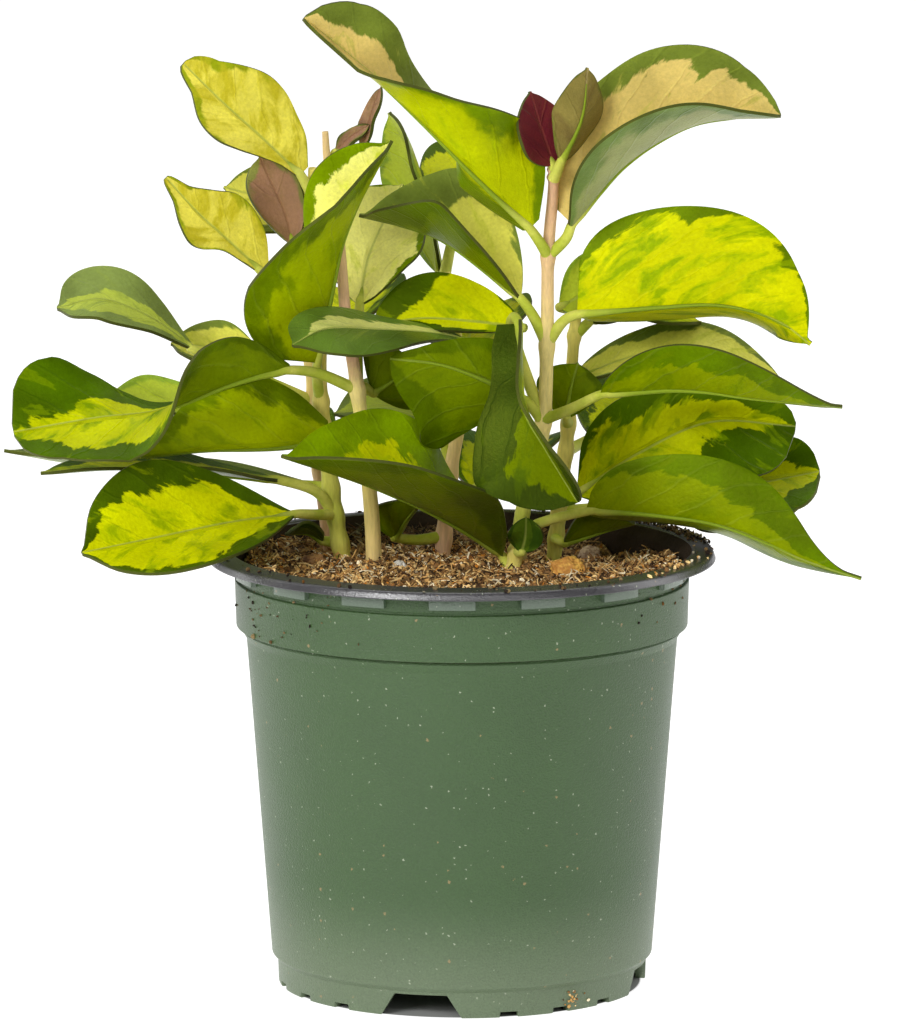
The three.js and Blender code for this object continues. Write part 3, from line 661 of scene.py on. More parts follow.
@dataclass(frozen=True)
class StemFinish:
    """A stem, its colour given at heights in mm, ridged along its length."""

    tones: tuple[tuple[float, Colour], ...]
    ridge: float = 0.3
    low: float = 86.0
    high: float = 200.0

    def dress(self, name: str) -> bpy.types.Material:
        """Makes the material.

        Args:
            name: the material's name.

        Returns:
            The material.
        """
        material, bench, shader = new_material(name)
        place = bench.node("ShaderNodeTexCoord").outputs["Object"]
        mm = bench.split(bench.shifted(place, (1000.0,) * 3, (0.0,) * 3))
        long_grain = bench.vector(mm[0], mm[1], bench.math("MULTIPLY", mm[2], 0.13))
        ridges = bench.noise(long_grain, 1.5, 3.0, 0.6)
        blotches = bench.noise(bench.vector(*mm), 0.35, 3.0, 0.6)
        height = bench.math("MULTIPLY_ADD", bench.math("SUBTRACT", blotches, 0.5), 9.0, mm[2])
        share = bench.step(height, self.low, self.high)
        share.node.interpolation_type = "LINEAR"
        ramp = bench.node("ShaderNodeValToRGB", None, Fac=share)
        stops = ramp.color_ramp.elements
        for i, (z, colour) in enumerate(self.tones):
            stop = stops[i] if i < 2 else stops.new(1.0)
            stop.position = (z - self.low) / (self.high - self.low)
            stop.color = (*colour, 1.0)
        lift = bench.math("MULTIPLY_ADD", ridges, 0.7, 0.65)
        colour = bench.mix(1.0, ramp.outputs[0], bench.vector(lift, lift, lift), "MULTIPLY")
        bench.feed(shader.inputs["Base Color"], colour)
        bench.feed(shader.inputs["Roughness"], bench.math("MULTIPLY_ADD", ridges, 0.2, 0.42))
        bench.feed(shader.inputs["Normal"], bench.bump(ridges, self.ridge, 0.0005))
        leafy_glow(shader)
        return material


@dataclass(frozen=True)
class PlasticFinish:
    """Moulded nursery-pot plastic: fine orange peel, pale and tan specks, and a foot lightened partly by dust
    and partly by a painted sheen of the floor's light.
    """

    colour: Colour
    dust: Colour = (0.42, 0.46, 0.34)
    tan: Colour = (0.42, 0.27, 0.12)
    rough: float = 0.42
    specks: float = 0.8
    peel: float = 0.55
    grain: float = 0.65
    gloss: float = 0.5
    foot_dust_and_sheen: float = 0.0
    dust_and_sheen_from: float = 0.03
    dust_and_sheen_full: float = 0.004
    tan_share: float = 0.7
    fade: float = 0.04

    def dress(self, name: str) -> bpy.types.Material:
        """Makes the material.

        Args:
            name: the material's name.

        Returns:
            The material.
        """
        material, bench, shader = new_material(name)
        marks = bench.node("ShaderNodeGroup", {"node_tree": GRAIN}, Fine=2.3, Broad=0.05).outputs
        deep, pale = (tuple((1 + fade) * c for c in self.colour) for fade in (-self.fade, self.fade))
        colour = bench.mix(bench.step(marks["Broad"], 0.3, 0.7), deep, pale)
        # The foot is lightened towards the ground: partly dust, partly a sheen of the floor's light painted
        # into the colour.
        if self.foot_dust_and_sheen:
            height = bench.split(bench.node("ShaderNodeTexCoord").outputs["Object"])[2]
            foot = bench.step(height, self.dust_and_sheen_from, self.dust_and_sheen_full)
            colour = bench.mix(bench.math("MULTIPLY", foot, self.foot_dust_and_sheen), colour, self.dust)
        lift = bench.math("MULTIPLY_ADD", marks["Fine"], self.grain, 1 - self.grain / 2)
        colour = bench.mix(1.0, colour, bench.vector(lift, lift, lift), "MULTIPLY")
        fine_specks = bench.math("MULTIPLY", marks["Dust"], self.tan_share * self.specks)
        colour = bench.mix(fine_specks, colour, self.tan)
        colour = bench.mix(bench.math("MULTIPLY", marks["Specks"], self.specks), colour, self.dust)
        bench.feed(shader.inputs["Base Color"], colour)
        bench.feed(shader.inputs["Roughness"],
                   bench.math("MULTIPLY_ADD", marks["Broad"], 0.1, self.rough - 0.05))
        bench.feed(shader.inputs["Normal"], bench.bump(marks["Fine"], self.peel, 0.0003))
        shader.inputs["Specular IOR Level"].default_value = self.gloss
        return material


@dataclass(frozen=True)
class TintFinish:
    """Loose stuff that carries its own tint on its points."""

    attribute: str = "tint"
    rough: float = 0.85

    def dress(self, name: str) -> bpy.types.Material:
        """Makes the material.

        Args:
            name: the material's name.

        Returns:
            The material.
        """
        material, bench, shader = new_material(name)
        tint = bench.node("ShaderNodeAttribute", {"attribute_name": self.attribute}).outputs["Color"]
        grain = bench.node("ShaderNodeGroup", {"node_tree": GRAIN}, Fine=2.6, Broad=0.5).outputs
        lift = bench.math("MULTIPLY_ADD", grain["Fine"], 1.1, 0.45)
        colour = bench.mix(1.0, tint, bench.vector(lift, lift, lift), "MULTIPLY")
        bench.feed(shader.inputs["Base Color"], colour)
        bench.feed(shader.inputs["Roughness"],
                   bench.math("MULTIPLY_ADD", grain["Broad"], 0.2, self.rough - 0.1))
        bench.feed(shader.inputs["Normal"], bench.bump(grain["Fine"], 0.6, 0.0005))
        shader.inputs["Specular IOR Level"].default_value = 0.3
        return material


@dataclass(frozen=True)
class LumpFinish:
    """A piece of bark or grit: two tones in patches, rough and pitted."""

    light: Colour
    dark: Colour
    rough: float = 0.7
    gloss: float = 0.4

    def dress(self, name: str) -> bpy.types.Material:
        """Makes the material.

        Args:
            name: the material's name.

        Returns:
            The material.
        """
        material, bench, shader = new_material(name)
        grain = bench.node("ShaderNodeGroup", {"node_tree": GRAIN}, Fine=1.8, Broad=0.45).outputs
        value = bench.math("MULTIPLY_ADD", grain["Fine"], 0.5, grain["Broad"])
        colour = bench.mix(bench.step(value, 0.6, 0.9), self.light, self.dark)
        bench.feed(shader.inputs["Base Color"], colour)
        bench.feed(shader.inputs["Roughness"],
                   bench.math("MULTIPLY_ADD", grain["Fine"], 0.2, self.rough - 0.1))
        bench.feed(shader.inputs["Normal"], bench.bump(value, 0.6, 0.0006))
        shader.inputs["Specular IOR Level"].default_value = self.gloss
        return material


LOOKS = {
    Look.YELLOW: LeafFinish((0.58, 0.59, 0.0), (0.25, 0.35, 0.0), (0.09, 0.15, 0.0), 0.6),
    Look.FRESH: LeafFinish((0.66, 0.69, 0.0), (0.30, 0.39, 0.0), (0.05, 0.095, 0.0), 0.56),
    Look.MEADOW: LeafFinish((0.58, 0.62, 0.0), (0.26, 0.37, 0.0), (0.17, 0.27, 0.0), 0.5),
    Look.POOL: LeafFinish((0.14, 0.2, 0.0), (0.07, 0.12, 0.002), (0.034, 0.06, 0.004), 0.5),
    Look.JADE: LeafFinish((0.2, 0.26, 0.0), (0.13, 0.19, 0.0), (0.08, 0.14, 0.0), 0.55, vein_share=0.06,
                          shift=5.0),
    Look.GOLD: LeafFinish((0.78, 0.69, 0.09), (0.5, 0.43, 0.02), (0.24, 0.28, 0.005), 0.72, soft=0.08),
    Look.TAN: LeafFinish((0.66, 0.50, 0.15), (0.40, 0.38, 0.06), (0.12, 0.16, 0.02), 0.3, 0.6),
    Look.SAGE: LeafFinish((0.68, 0.66, 0.10), (0.48, 0.50, 0.05), (0.15, 0.2, 0.03), 0.45, soft=0.05),
    Look.CREAM: LeafFinish((0.92, 0.89, 0.24), (0.62, 0.66, 0.06), (0.14, 0.22, 0.0), 0.4),
    Look.LIME: LeafFinish((0.42, 0.5, 0.03), (0.3, 0.38, 0.02), (0.2, 0.3, 0.02), soft=0.08),
    Look.DEEP: LeafFinish((0.50, 0.54, 0.0), (0.17, 0.26, 0.0), (0.05, 0.105, 0.0), 0.55),
    Look.STRIPED: LeafFinish((0.68, 0.68, 0.2), (0.28, 0.36, 0.05), (0.1, 0.17, 0.02), 0.45, stretch=2.2),
    Look.GREY: LeafFinish((0.4, 0.47, 0.06), (0.24, 0.31, 0.05), (0.16, 0.21, 0.05), 0.5, stretch=2.0),
    Look.DARK: LeafFinish((0.09, 0.16, 0.008), (0.05, 0.1, 0.006), (0.03, 0.07, 0.005), 0.5),
    Look.RED: LeafFinish((0.15, 0.014, 0.025), (0.1, 0.01, 0.02), (0.07, 0.012, 0.018), 0.5, soft=0.1,
                         rib=(0.2, 0.03, 0.035)),
    Look.BROWN: LeafFinish((0.36, 0.19, 0.12), (0.27, 0.15, 0.08), (0.19, 0.2, 0.05), 0.5, soft=0.12,
                           rib=(0.3, 0.14, 0.08)),
    Look.FERN: LeafFinish((0.35, 0.43, 0.0), (0.2, 0.28, 0.0), (0.11, 0.17, 0.0), 0.55, soft=0.07,
                          vein_share=0.06, shift=5.0),
    Look.MOSS: LeafFinish((0.14, 0.2, 0.0), (0.1, 0.155, 0.0), (0.07, 0.115, 0.0), 0.55, soft=0.08,
                          vein_share=0.08, rib=(0.25, 0.32, 0.05), shift=5.0),
    Look.GLOW: LeafFinish((0.42, 0.47, 0.0), (0.3, 0.38, 0.0), (0.13, 0.21, 0.0), 0.4, soft=0.12,
                          rib=(0.45, 0.52, 0.04), shift=5.0),
    Look.SHADE: LeafFinish((0.30, 0.32, 0.13), (0.2, 0.26, 0.08), (0.12, 0.18, 0.05), 0.4, soft=0.12,
                           shift=5.0),
    Look.RUSSET: LeafFinish((0.24, 0.19, 0.05), (0.17, 0.12, 0.035), (0.11, 0.12, 0.02), 0.5, soft=0.1,
                            rib=(0.42, 0.33, 0.14)),
}
EDGE = StalkFinish((0.07, 0.07, 0.02), (0.035, 0.045, 0.01), (0.06, 0.07, 0.015))
STALK = StalkFinish((0.62, 0.62, 0.12), (0.42, 0.48, 0.05))


# ---------------------------------------------------------------- the pot

def rounded(corners: Sequence[Point]) -> list[tuple[float, float]]:
    """A section's corners (radius, height, rounding), each rounded and held by a ring on either side.

    Args:
        corners: radius, height and rounding of each corner, in mm.

    Returns:
        Radius and height of each ring, in mm.
    """
    rows = np.array(corners, float)
    out = []
    for i, (here, rounding) in enumerate(zip(rows[:, :2], rows[:, 2])):
        if not rounding:
            out.append(here)
            continue
        to_last, to_next = unit(rows[i - 1, :2] - here), unit(rows[i + 1, :2] - here)
        start, end = here + to_last * rounding, here + to_next * rounding
        out += [here + to_last * rounding * 1.7, start, (start + 2 * here + end) / 4, end,
                here + to_next * rounding * 1.7]
    return [(float(r), float(z)) for r, z in out]


class Skin(IntEnum):
    """The pot's materials, in the order of its slots."""

    BODY = 0
    LIP = 1
    # the inside, dark with soil stain and painted shade
    INSIDE = 2
    # the lugs, in the lighter plastic of their painted highlight
    LUG = 3


@dataclass
class Pot:
    """The thin green nursery pot: notched foot, tapering wall, band, lugged neck and broad dark lip."""

    lip_radius: float = 57.0
    lip_edge: float = 98.4
    lip_crest: float = 98.9
    lip_under: float = 96.6
    lip_inner: float = 51.9
    lip_lean: float = 0.7
    neck_radius: float = 50.7
    neck_z: float = 92.8
    band_top_radius: float = 51.0
    band_low_radius: float = 50.7
    band_z: float = 81.8
    groove: float = 0.65
    body_top: tuple[float, float] = (48.4, 79.0)
    body_low: tuple[float, float] = (42.9, 7.0)
    foot_top: tuple[float, float] = (41.6, 5.8)
    foot_radius: float = 41.4
    foot_inner: float = 39.2
    pad_radius: float = 19.0
    floor_under: float = 5.4
    floor_top: float = 7.0
    wall: float = 1.1
    sides: int = 160
    lugs: int = 16
    lug_first: float = -2.4
    lug_faces: int = 5
    lug_z: tuple[float, float] = (93.7, 96.3)
    lug_out: tuple[float, float] = (1.35, 0.3)
    notch_first: float = -12.9
    notches: int = 4
    notch: tuple[float, float, float] = (12.0, 19.0, 5.2)
    small_at: tuple[float, ...] = (27.5, 45.0, 62.5)
    small: tuple[float, float, float] = (4.0, 4.4, 1.3)
    cut_depth: float = 7.0
    cut_spare: float = 0.5
    soft_edge: float = 0.16
    near: float = 0.15
    plastic: PlasticFinish = PlasticFinish((0.04, 0.086, 0.024), foot_dust_and_sheen=0.2, rough=0.38, peel=0.9)
    lip_plastic: PlasticFinish = PlasticFinish((0.036, 0.034, 0.038), rough=0.28, specks=0.7, peel=0.3,
                                               gloss=1.0)
    # The lugs' plastic, lighter than the body's: a painted highlight where the lamps catch the lugs.
    lug_plastic: PlasticFinish = PlasticFinish((0.075, 0.12, 0.07), rough=0.24, specks=0.4, peel=0.3,
                                               gloss=1.0)
    # The inside of the wall: nearly black, with soil stain and painted shade.
    stain: LumpFinish = LumpFinish((0.03, 0.02, 0.012), (0.03, 0.02, 0.012), 0.9, 0.12)

    def profile(self) -> list[tuple[float, float]]:
        """The wall's section as radius and height, from the foot's centre pad round to the inner floor.

        Returns:
            Radius and height of each ring, in mm.
        """
        top, under, deep, inner = self.lip_edge, self.lip_under, self.groove, self.neck_radius - self.wall
        slope, neck_z = self.body_top[0] + 1.1, self.neck_z
        low_band, band = self.band_low_radius, self.band_top_radius
        return rounded([
            (self.pad_radius, 0, 0), (self.pad_radius + 0.5, self.floor_under, 0),
            (self.foot_inner - 0.5, self.floor_under, 0.2), (self.foot_inner, 0, 0.25),
            (self.foot_radius, 0, 0.3), (*self.foot_top, 0.1), (*self.body_low, 0.25), (*self.body_top, 0.15),
            (slope, self.band_z - 0.9, 0), (slope - 0.4, self.band_z - 0.3, 0), (slope, self.band_z + 0.15, 0),
            (low_band, self.band_z, 0.14),
            (band, neck_z - 0.65, 0.2), (band - deep, neck_z - 0.5, 0),
            (band - deep, neck_z - 0.1, 0), (self.neck_radius, neck_z, 0.1),
            (self.neck_radius, self.lug_z[0], 0), (self.neck_radius, self.lug_z[1], 0),
            (self.neck_radius, under, 0), (self.lip_radius, under, 0.25),
            (self.lip_radius - self.lip_lean, top, 0.5),
            (self.lip_inner, self.lip_crest, 0.35), (inner + 0.3, under - 0.6, 0.3), (inner, neck_z, 0),
            (low_band - self.wall - 0.3, self.band_z, 0.2), (self.body_top[0] - self.wall, 78.0, 0),
            (self.body_low[0] - self.wall, self.body_low[1] + 1, 0),
            (self.body_low[0] - self.wall - 1, self.floor_top, 0), (self.pad_radius, self.floor_top, 0),
        ])

    def turn_wall(self) -> bpy.types.Object:
        """Extrudes a ring step by step along the section and closes both ends.

        Returns:
            The bare wall.
        """
        first, *rest = self.profile()
        start = math.radians(self.lug_first) - math.pi / self.sides * self.lug_faces
        bpy.ops.mesh.primitive_circle_add(vertices=self.sides, radius=first[0] * MM,
                                          location=(0, 0, first[1] * MM), rotation=(0, 0, start))
        wall = added("pot")
        bpy.ops.object.transform_apply(location=True, rotation=True, scale=True)
        edit_all()
        bpy.ops.mesh.edge_face_add()
        radius, height = first
        for next_radius, next_height in rest:
            bpy.ops.mesh.extrude_region_move(
                TRANSFORM_OT_translate={"value": (0, 0, (next_height - height) * MM)})
            share = next_radius / radius
            bpy.ops.transform.resize(value=(share, share, 1), center_override=(0, 0, 0))
            radius, height = next_radius, next_height
        close_outwards()
        return wall

    def select_faces(self, piece: bpy.types.Object, chosen: Callable[[bpy.types.MeshPolygon], bool]) -> None:
        """Selects the faces for which chosen is true, and goes into edit mode.

        Args:
            piece: the piece.
            chosen: tells whether a face is wanted.
        """
        make_active(piece)
        bpy.ops.object.mode_set(mode="EDIT")
        bpy.ops.mesh.select_all(action="DESELECT")
        bpy.ops.mesh.select_mode(type="FACE")
        bpy.ops.object.mode_set(mode="OBJECT")
        for face in piece.data.polygons:
            face.select = chosen(face)
        bpy.ops.object.mode_set(mode="EDIT")

    def raise_lugs(self, wall: bpy.types.Object) -> None:
        """Pushes sixteen blocks out of the neck, further at their feet.

        Args:
            wall: the bare wall.
        """
        pitch = self.sides // self.lugs
        start = math.radians(self.lug_first) - math.pi / self.sides * self.lug_faces
        low, high = self.lug_z

        def on_lug(face: bpy.types.MeshPolygon) -> bool:
            """Whether a face is on the neck and on a lug.

            Args:
                face: the face.

            Returns:
                True for a lug's face.
            """
            x, y, z = face.center / MM
            on_neck = low < z < high and abs(math.hypot(x, y) - self.neck_radius) < self.near
            turn = (math.atan2(x, -y) - start) / (2 * math.pi) * self.sides
            return on_neck and int(math.floor(turn + 1e-6)) % pitch < self.lug_faces

        self.select_faces(wall, on_lug)
        share = (self.neck_radius + self.lug_out[1]) / self.neck_radius
        bpy.ops.mesh.extrude_region_move()
        bpy.ops.transform.resize(value=(share, share, 1), center_override=(0, 0, 0))
        bpy.ops.mesh.select_mode(type="VERT")
        bpy.ops.object.mode_set(mode="OBJECT")
        for vertex in wall.data.vertices:
            vertex.select = vertex.select and vertex.co.z < (low + high) / 2 * MM
        bpy.ops.object.mode_set(mode="EDIT")
        share = (self.neck_radius + self.lug_out[0]) / (self.neck_radius + self.lug_out[1])
        bpy.ops.transform.resize(value=(share, share, 1), center_override=(0, 0, 0))
        bpy.ops.object.mode_set(mode="OBJECT")

    def cutter(self, turn: float, sizes: tuple[float, float, float]) -> bpy.types.Object:
        """A block across the foot at an angle from the front, wider at the ground.

        Args:
            turn: its angle from the front, in degrees.
            sizes: its width at the top, its width at the ground and its height, in mm.

        Returns:
            The block.
        """
        top, foot, height = sizes
        deselect_all()
        bpy.ops.mesh.primitive_cube_add(size=1, location=(0, 0, 0))
        block = added("foot_cut")
        bpy.ops.object.mode_set(mode="EDIT")
        bpy.ops.transform.resize(value=(top * MM, self.cut_depth * MM, (height + self.cut_spare) * MM),
                                 center_override=(0, 0, 0))
        bpy.ops.transform.translate(
            value=(0, -(self.foot_radius - 1) * MM, (height - self.cut_spare) / 2 * MM))
        bpy.ops.mesh.select_all(action="DESELECT")
        bpy.ops.object.mode_set(mode="OBJECT")
        for vertex in block.data.vertices:
            vertex.select = vertex.co.z < 0
        bpy.ops.object.mode_set(mode="EDIT")
        bpy.ops.transform.resize(value=(foot / top, 1, 1), center_override=(0, 0, 0))
        bpy.ops.object.mode_set(mode="OBJECT")
        block.data.transform(Matrix.Rotation(math.radians(turn), 4, "Z"))
        return block

    def cut_foot(self, wall: bpy.types.Object) -> None:
        """Cuts the drainage notches out of the foot.

        Args:
            wall: the wall with its lugs.
        """
        blocks = []
        for i in range(self.notches):
            turn = self.notch_first + 360 / self.notches * i
            blocks.append(self.cutter(turn, self.notch))
            blocks += [self.cutter(turn + step, self.small) for step in self.small_at]
        cut = joined("foot_cuts", blocks)
        carve = wall.modifiers.new("foot_cuts", "BOOLEAN")
        carve.operation, carve.object, carve.solver = "DIFFERENCE", cut, "EXACT"
        soften = wall.modifiers.new("soften", "BEVEL")
        soften.width, soften.segments = self.soft_edge * MM, 2
        soften.limit_method, soften.angle_limit = "ANGLE", math.radians(50)
        soften.use_clamp_overlap = True
        apply_modifiers(wall)
        bpy.data.objects.remove(cut)

    def skin(self, face: bpy.types.MeshPolygon) -> Skin:
        """The material of one of the pot's faces, by its place and the way it faces.

        Args:
            face: the face.

        Returns:
            Its material.
        """
        x, y, z = face.center / MM
        out = math.hypot(x, y)
        on_lip = z > self.lip_under - 0.05 and out > self.neck_radius + 0.2
        inward = face.normal.dot(Vector((x, y, 0)) / max(out, 1)) < -0.5
        if inward and not on_lip and z > self.floor_top + 1 and out < self.lip_inner - 0.25:
            return Skin.INSIDE
        if on_lip:
            return Skin.LIP
        on_lug = self.lug_z[0] - 0.1 < z < self.lug_z[1] + 0.1 and out > self.neck_radius + 0.3
        return Skin.LUG if on_lug else Skin.BODY

    def build(self) -> None:
        """Makes and dresses the pot."""
        deselect_all()
        wall = self.turn_wall()
        self.raise_lugs(wall)
        self.cut_foot(wall)
        for finish, name in ((self.plastic, "pot_plastic"), (self.lip_plastic, "lip_plastic"),
                             (self.stain, "stained_wall"), (self.lug_plastic, "lug_plastic")):
            wall.data.materials.append(finish.dress(name))
        for face in wall.data.polygons:
            face.material_index = int(self.skin(face))
        smooth(wall, 60)
        own(wall, "pot_green", "pot")


# ---------------------------------------------------------------- the soil

SOIL_TOP, SOIL_LUMPS, ROUGH_MEAN = 94.0, 0.9, 0.3
HOLLOW_AT, HOLLOW_REACH, HOLLOW_DEPTH = (34, 30), (18, 15), 5
BANK_FROM, BANK_WIDTH, BANK_HEIGHT = 38, 10.6, 2.6


def soil_height(x: np.ndarray, y: np.ndarray) -> np.ndarray:
    """The height of the soil's surface in mm: lumps, and a hollow towards the back right.

    Args:
        x: places across, in mm.
        y: places from front to back, in mm.

    Returns:
        Heights in mm.
    """
    lumps = np.sin(0.31 * x + 1.3) * np.cos(0.27 * y - 0.4) + 0.6 * np.sin(0.55 * x - 0.47 * y + 2)
    hollow = np.exp(-((x - HOLLOW_AT[0]) / HOLLOW_REACH[0]) ** 2 - ((y - HOLLOW_AT[1]) / HOLLOW_REACH[1]) ** 2)
    bank = np.clip((np.hypot(x, y) - BANK_FROM) / BANK_WIDTH, 0, 1) ** 2
    return SOIL_TOP + SOIL_LUMPS * lumps - HOLLOW_DEPTH * hollow + BANK_HEIGHT * bank


def rough_height(points: np.ndarray) -> np.ndarray:
    """A rough unevenness about zero, in mm, at places in mm.

    Args:
        points: the places.

    Returns:
        One value for each place.
    """
    scale, layer, falloff, finer, octaves = 0.28, 0.5, 0.9, 2.1, 4
    rough = [noise.fractal(Vector((x * scale, y * scale, layer)), falloff, finer, octaves)
             for x, y in points[:, :2]]
    return np.array(rough) - ROUGH_MEAN


@dataclass(frozen=True)
class Spill:
    """Dirt round the pot: its middle and spread as degrees from +X, how much of it, and how high in mm."""

    middle: float
    spread: float
    count: int
    low: float = 0.0
    high: float = 0.0


@dataclass
class Soil:
    """The soil: a rough bed under loose crumbs and coir fibres."""

    wall: tuple[tuple[float, float], ...] = ((40.4, 7.3), (41.3, 8.6), (46.9, 79.0), (48.8, 82.3))
    rim_radius: float = 48.6
    sides: int = 224
    rings: int = 56
    relief: float = 0.9
    crumbs: int = 9000
    crumb_size: tuple[float, float] = (0.18, 0.7)
    crumb_shape: tuple[float, float] = (0.4, 1.25)
    fibres: int = 5200
    fibre_length: tuple[float, float] = (0.45, 1.7)
    fibre_thin: tuple[float, float] = (0.06, 0.19)
    fibre_lift: tuple[float, float] = (0.1, 0.8)
    short_bias: float = 1.2
    spilt_size: tuple[float, float] = (0.12, 0.48)
    spilt_shape: tuple[float, float] = (0.4, 1.5)
    lip_heap: Spill = Spill(26, 10, 260)
    lip_clump: Spill = Spill(-28, 3.5, 90)
    clump_reach: float = 8.0
    clump_radii: tuple[float, float] = (49.5, 54.5)
    lip_thin: tuple[tuple[float, float, int], ...] = ((-75, 60, 60), (60, 300, 60))
    lip_radii: tuple[float, float] = (52.0, 57.0)
    lip_crest: float = Pot.lip_crest
    lip_inner: float = Pot.lip_inner
    lip_width: float = 5.1
    lip_drop: float = 0.5
    wall_dirt: tuple[Spill, ...] = (Spill(212, 14, 46, 79, 95), Spill(-22, 12, 12, 86, 95),
                                    Spill(-54, 2.2, 22, 0.6, 4.6))
    foot_high: float = 10.0
    foot_radius: float = 41.7
    body_radius: float = 48.6
    band_z: float = Pot.band_z
    band_radius: float = 50.9
    # Painted shade on the loose crumbs and fibres: darker towards the back and the left. Spilt crumbs outside
    # the rim are darkened as well, but for those at the front right and at the foot.
    shade_behind: float = 16.0
    shade_rise: float = 0.03
    shade_left: float = 0.25
    left_reach: float = 45.0
    shade_most: float = 0.85
    spilt_darkening: float = 0.78
    spilt_radius: float = 48.5
    undimmed_corner: Point = (35.0, -8.0, 96.0)
    tint_spread: tuple[float, float] = (0.85, 1.4)
    seed: int = 41
    palette: tuple[tuple[float, Colour], ...] = (
        (0.24, (0.06, 0.03, 0.012)), (0.22, (0.28, 0.14, 0.045)), (0.24, (0.62, 0.36, 0.12)),
        (0.18, (0.88, 0.62, 0.27)), (0.04, (0.66, 0.25, 0.03)), (0.08, (0.92, 0.8, 0.55)))

    def bed(self) -> None:
        """The solid soil, its wall extruded up and its top drawn in ring by ring."""
        deselect_all()
        (radius, height), *rest = self.wall
        bpy.ops.mesh.primitive_circle_add(vertices=self.sides, radius=radius * MM,
                                          location=(0, 0, height * MM))
        bed = added("soil_bed")
        bpy.ops.object.transform_apply(location=True)
        edit_all()
        bpy.ops.mesh.edge_face_add()
        top = [(self.rim_radius * (1 - (i / self.rings)), SOIL_TOP) for i in range(self.rings)]
        for next_radius, next_height in [*rest, *top, (0.05, SOIL_TOP)]:
            bpy.ops.mesh.extrude_region_move(
                TRANSFORM_OT_translate={"value": (0, 0, (next_height - height) * MM)})
            bpy.ops.transform.resize(value=(next_radius / radius,) * 2 + (1,), center_override=(0, 0, 0))
            radius, height = next_radius, next_height
        bpy.ops.mesh.merge(type="COLLAPSE")
        close_outwards()
        points = points_of(bed) / MM
        up = points[:, 2] > SOIL_TOP - 1
        points[up, 2] = soil_height(points[up, 0], points[up, 1]) + self.relief * rough_height(points[up])
        move_points(bed, points * MM)
        finish = LumpFinish((0.34, 0.19, 0.07), (0.07, 0.035, 0.014), 0.95)
        bed.data.materials.append(finish.dress("soil_bed"))
        smooth(bed, 60)
        own(bed, "soil", "soil")

    def tints(self, places: np.ndarray, pick: np.random.Generator) -> np.ndarray:
        """Random tints from the palette, one row for each place, darkened by painted shade towards the back
        and the left; spilt crumbs outside the rim are darkened too, but for those at the front right and at
        the foot.

        Args:
            places: the places, in mm.
            pick: the random draws.

        Returns:
            One colour for each place.
        """
        shares = np.array([share for share, _ in self.palette])
        chosen = pick.choice(len(shares), len(places), p=shares / shares.sum())
        colours = np.array([colour for _, colour in self.palette])[chosen]
        x, y = places[:, 0], places[:, 1]
        left = np.clip(-x / self.left_reach, 0, 1)
        # Painted shade: darker towards the back and the left.
        painted_shade_and_spill_dark = np.clip(self.shade_rise * (y - self.shade_behind) + self.shade_left * left, 0, self.shade_most)
        right, front, up = self.undimmed_corner
        undimmed = (x > right) & (y < front) & (places[:, 2] > up) | (places[:, 2] < self.foot_high)
        # Spilt crumbs outside the rim are darkened, but for those at the front right and at the foot.
        painted_shade_and_spill_dark = np.maximum(painted_shade_and_spill_dark, self.spilt_darkening * ((np.hypot(x, y) > self.spilt_radius) & ~undimmed))
        return colours * pick.uniform(*self.tint_spread, (len(places), 1)) * (1 - painted_shade_and_spill_dark)[:, None]

    def places(self, count: int, pick: np.random.Generator, reach: float) -> np.ndarray:
        """Random places on the soil's surface.

        Args:
            count: how many.
            pick: the random draws.
            reach: the greatest radius, in mm.

        Returns:
            One row for each place, in mm.
        """
        radius = reach * np.sqrt(pick.uniform(0, 1, count))
        turn = pick.uniform(0, 2 * math.pi, count)
        x, y = radius * np.cos(turn), radius * np.sin(turn)
        flat = np.column_stack([x, y, np.zeros(count)])
        flat[:, 2] = soil_height(x, y) + self.relief * rough_height(flat)
        return flat

    def lip_places(self, pick: np.random.Generator) -> np.ndarray:
        """Places of the crumbs spilt on the lip: thick at the back right, thin elsewhere.

        Args:
            pick: the random draws.

        Returns:
            One row for each place, in mm.
        """
        heap, clump = self.lip_heap, self.lip_clump
        turn = np.radians(np.concatenate([
            pick.normal(heap.middle, heap.spread, heap.count),
            *[pick.uniform(start, end, count) for start, end, count in self.lip_thin],
            pick.normal(clump.middle, clump.spread, clump.count)]))
        in_clump = np.abs(np.degrees(turn) - clump.middle) < self.clump_reach
        radius = np.where(in_clump, pick.uniform(*self.clump_radii, len(turn)),
                          pick.uniform(*self.lip_radii, len(turn)))
        height = self.lip_crest - (radius - self.lip_inner) / self.lip_width * self.lip_drop
        return np.column_stack([radius * np.cos(turn), radius * np.sin(turn), height])

    def wall_places(self, pick: np.random.Generator) -> np.ndarray:
        """Places of the dirt stuck to the neck and band, mostly at the left, and to the foot.

        Args:
            pick: the random draws.

        Returns:
            One row for each place, in mm.
        """
        dirt = self.wall_dirt
        turn = np.radians(np.concatenate([pick.normal(row.middle, row.spread, row.count) for row in dirt]))
        height = np.concatenate([pick.uniform(row.low, row.high, row.count) for row in dirt])
        radius = np.where(height < self.foot_high, self.foot_radius,
                          np.where(height < self.band_z, self.body_radius, self.band_radius))
        return np.column_stack([radius * np.cos(turn), radius * np.sin(turn), height])

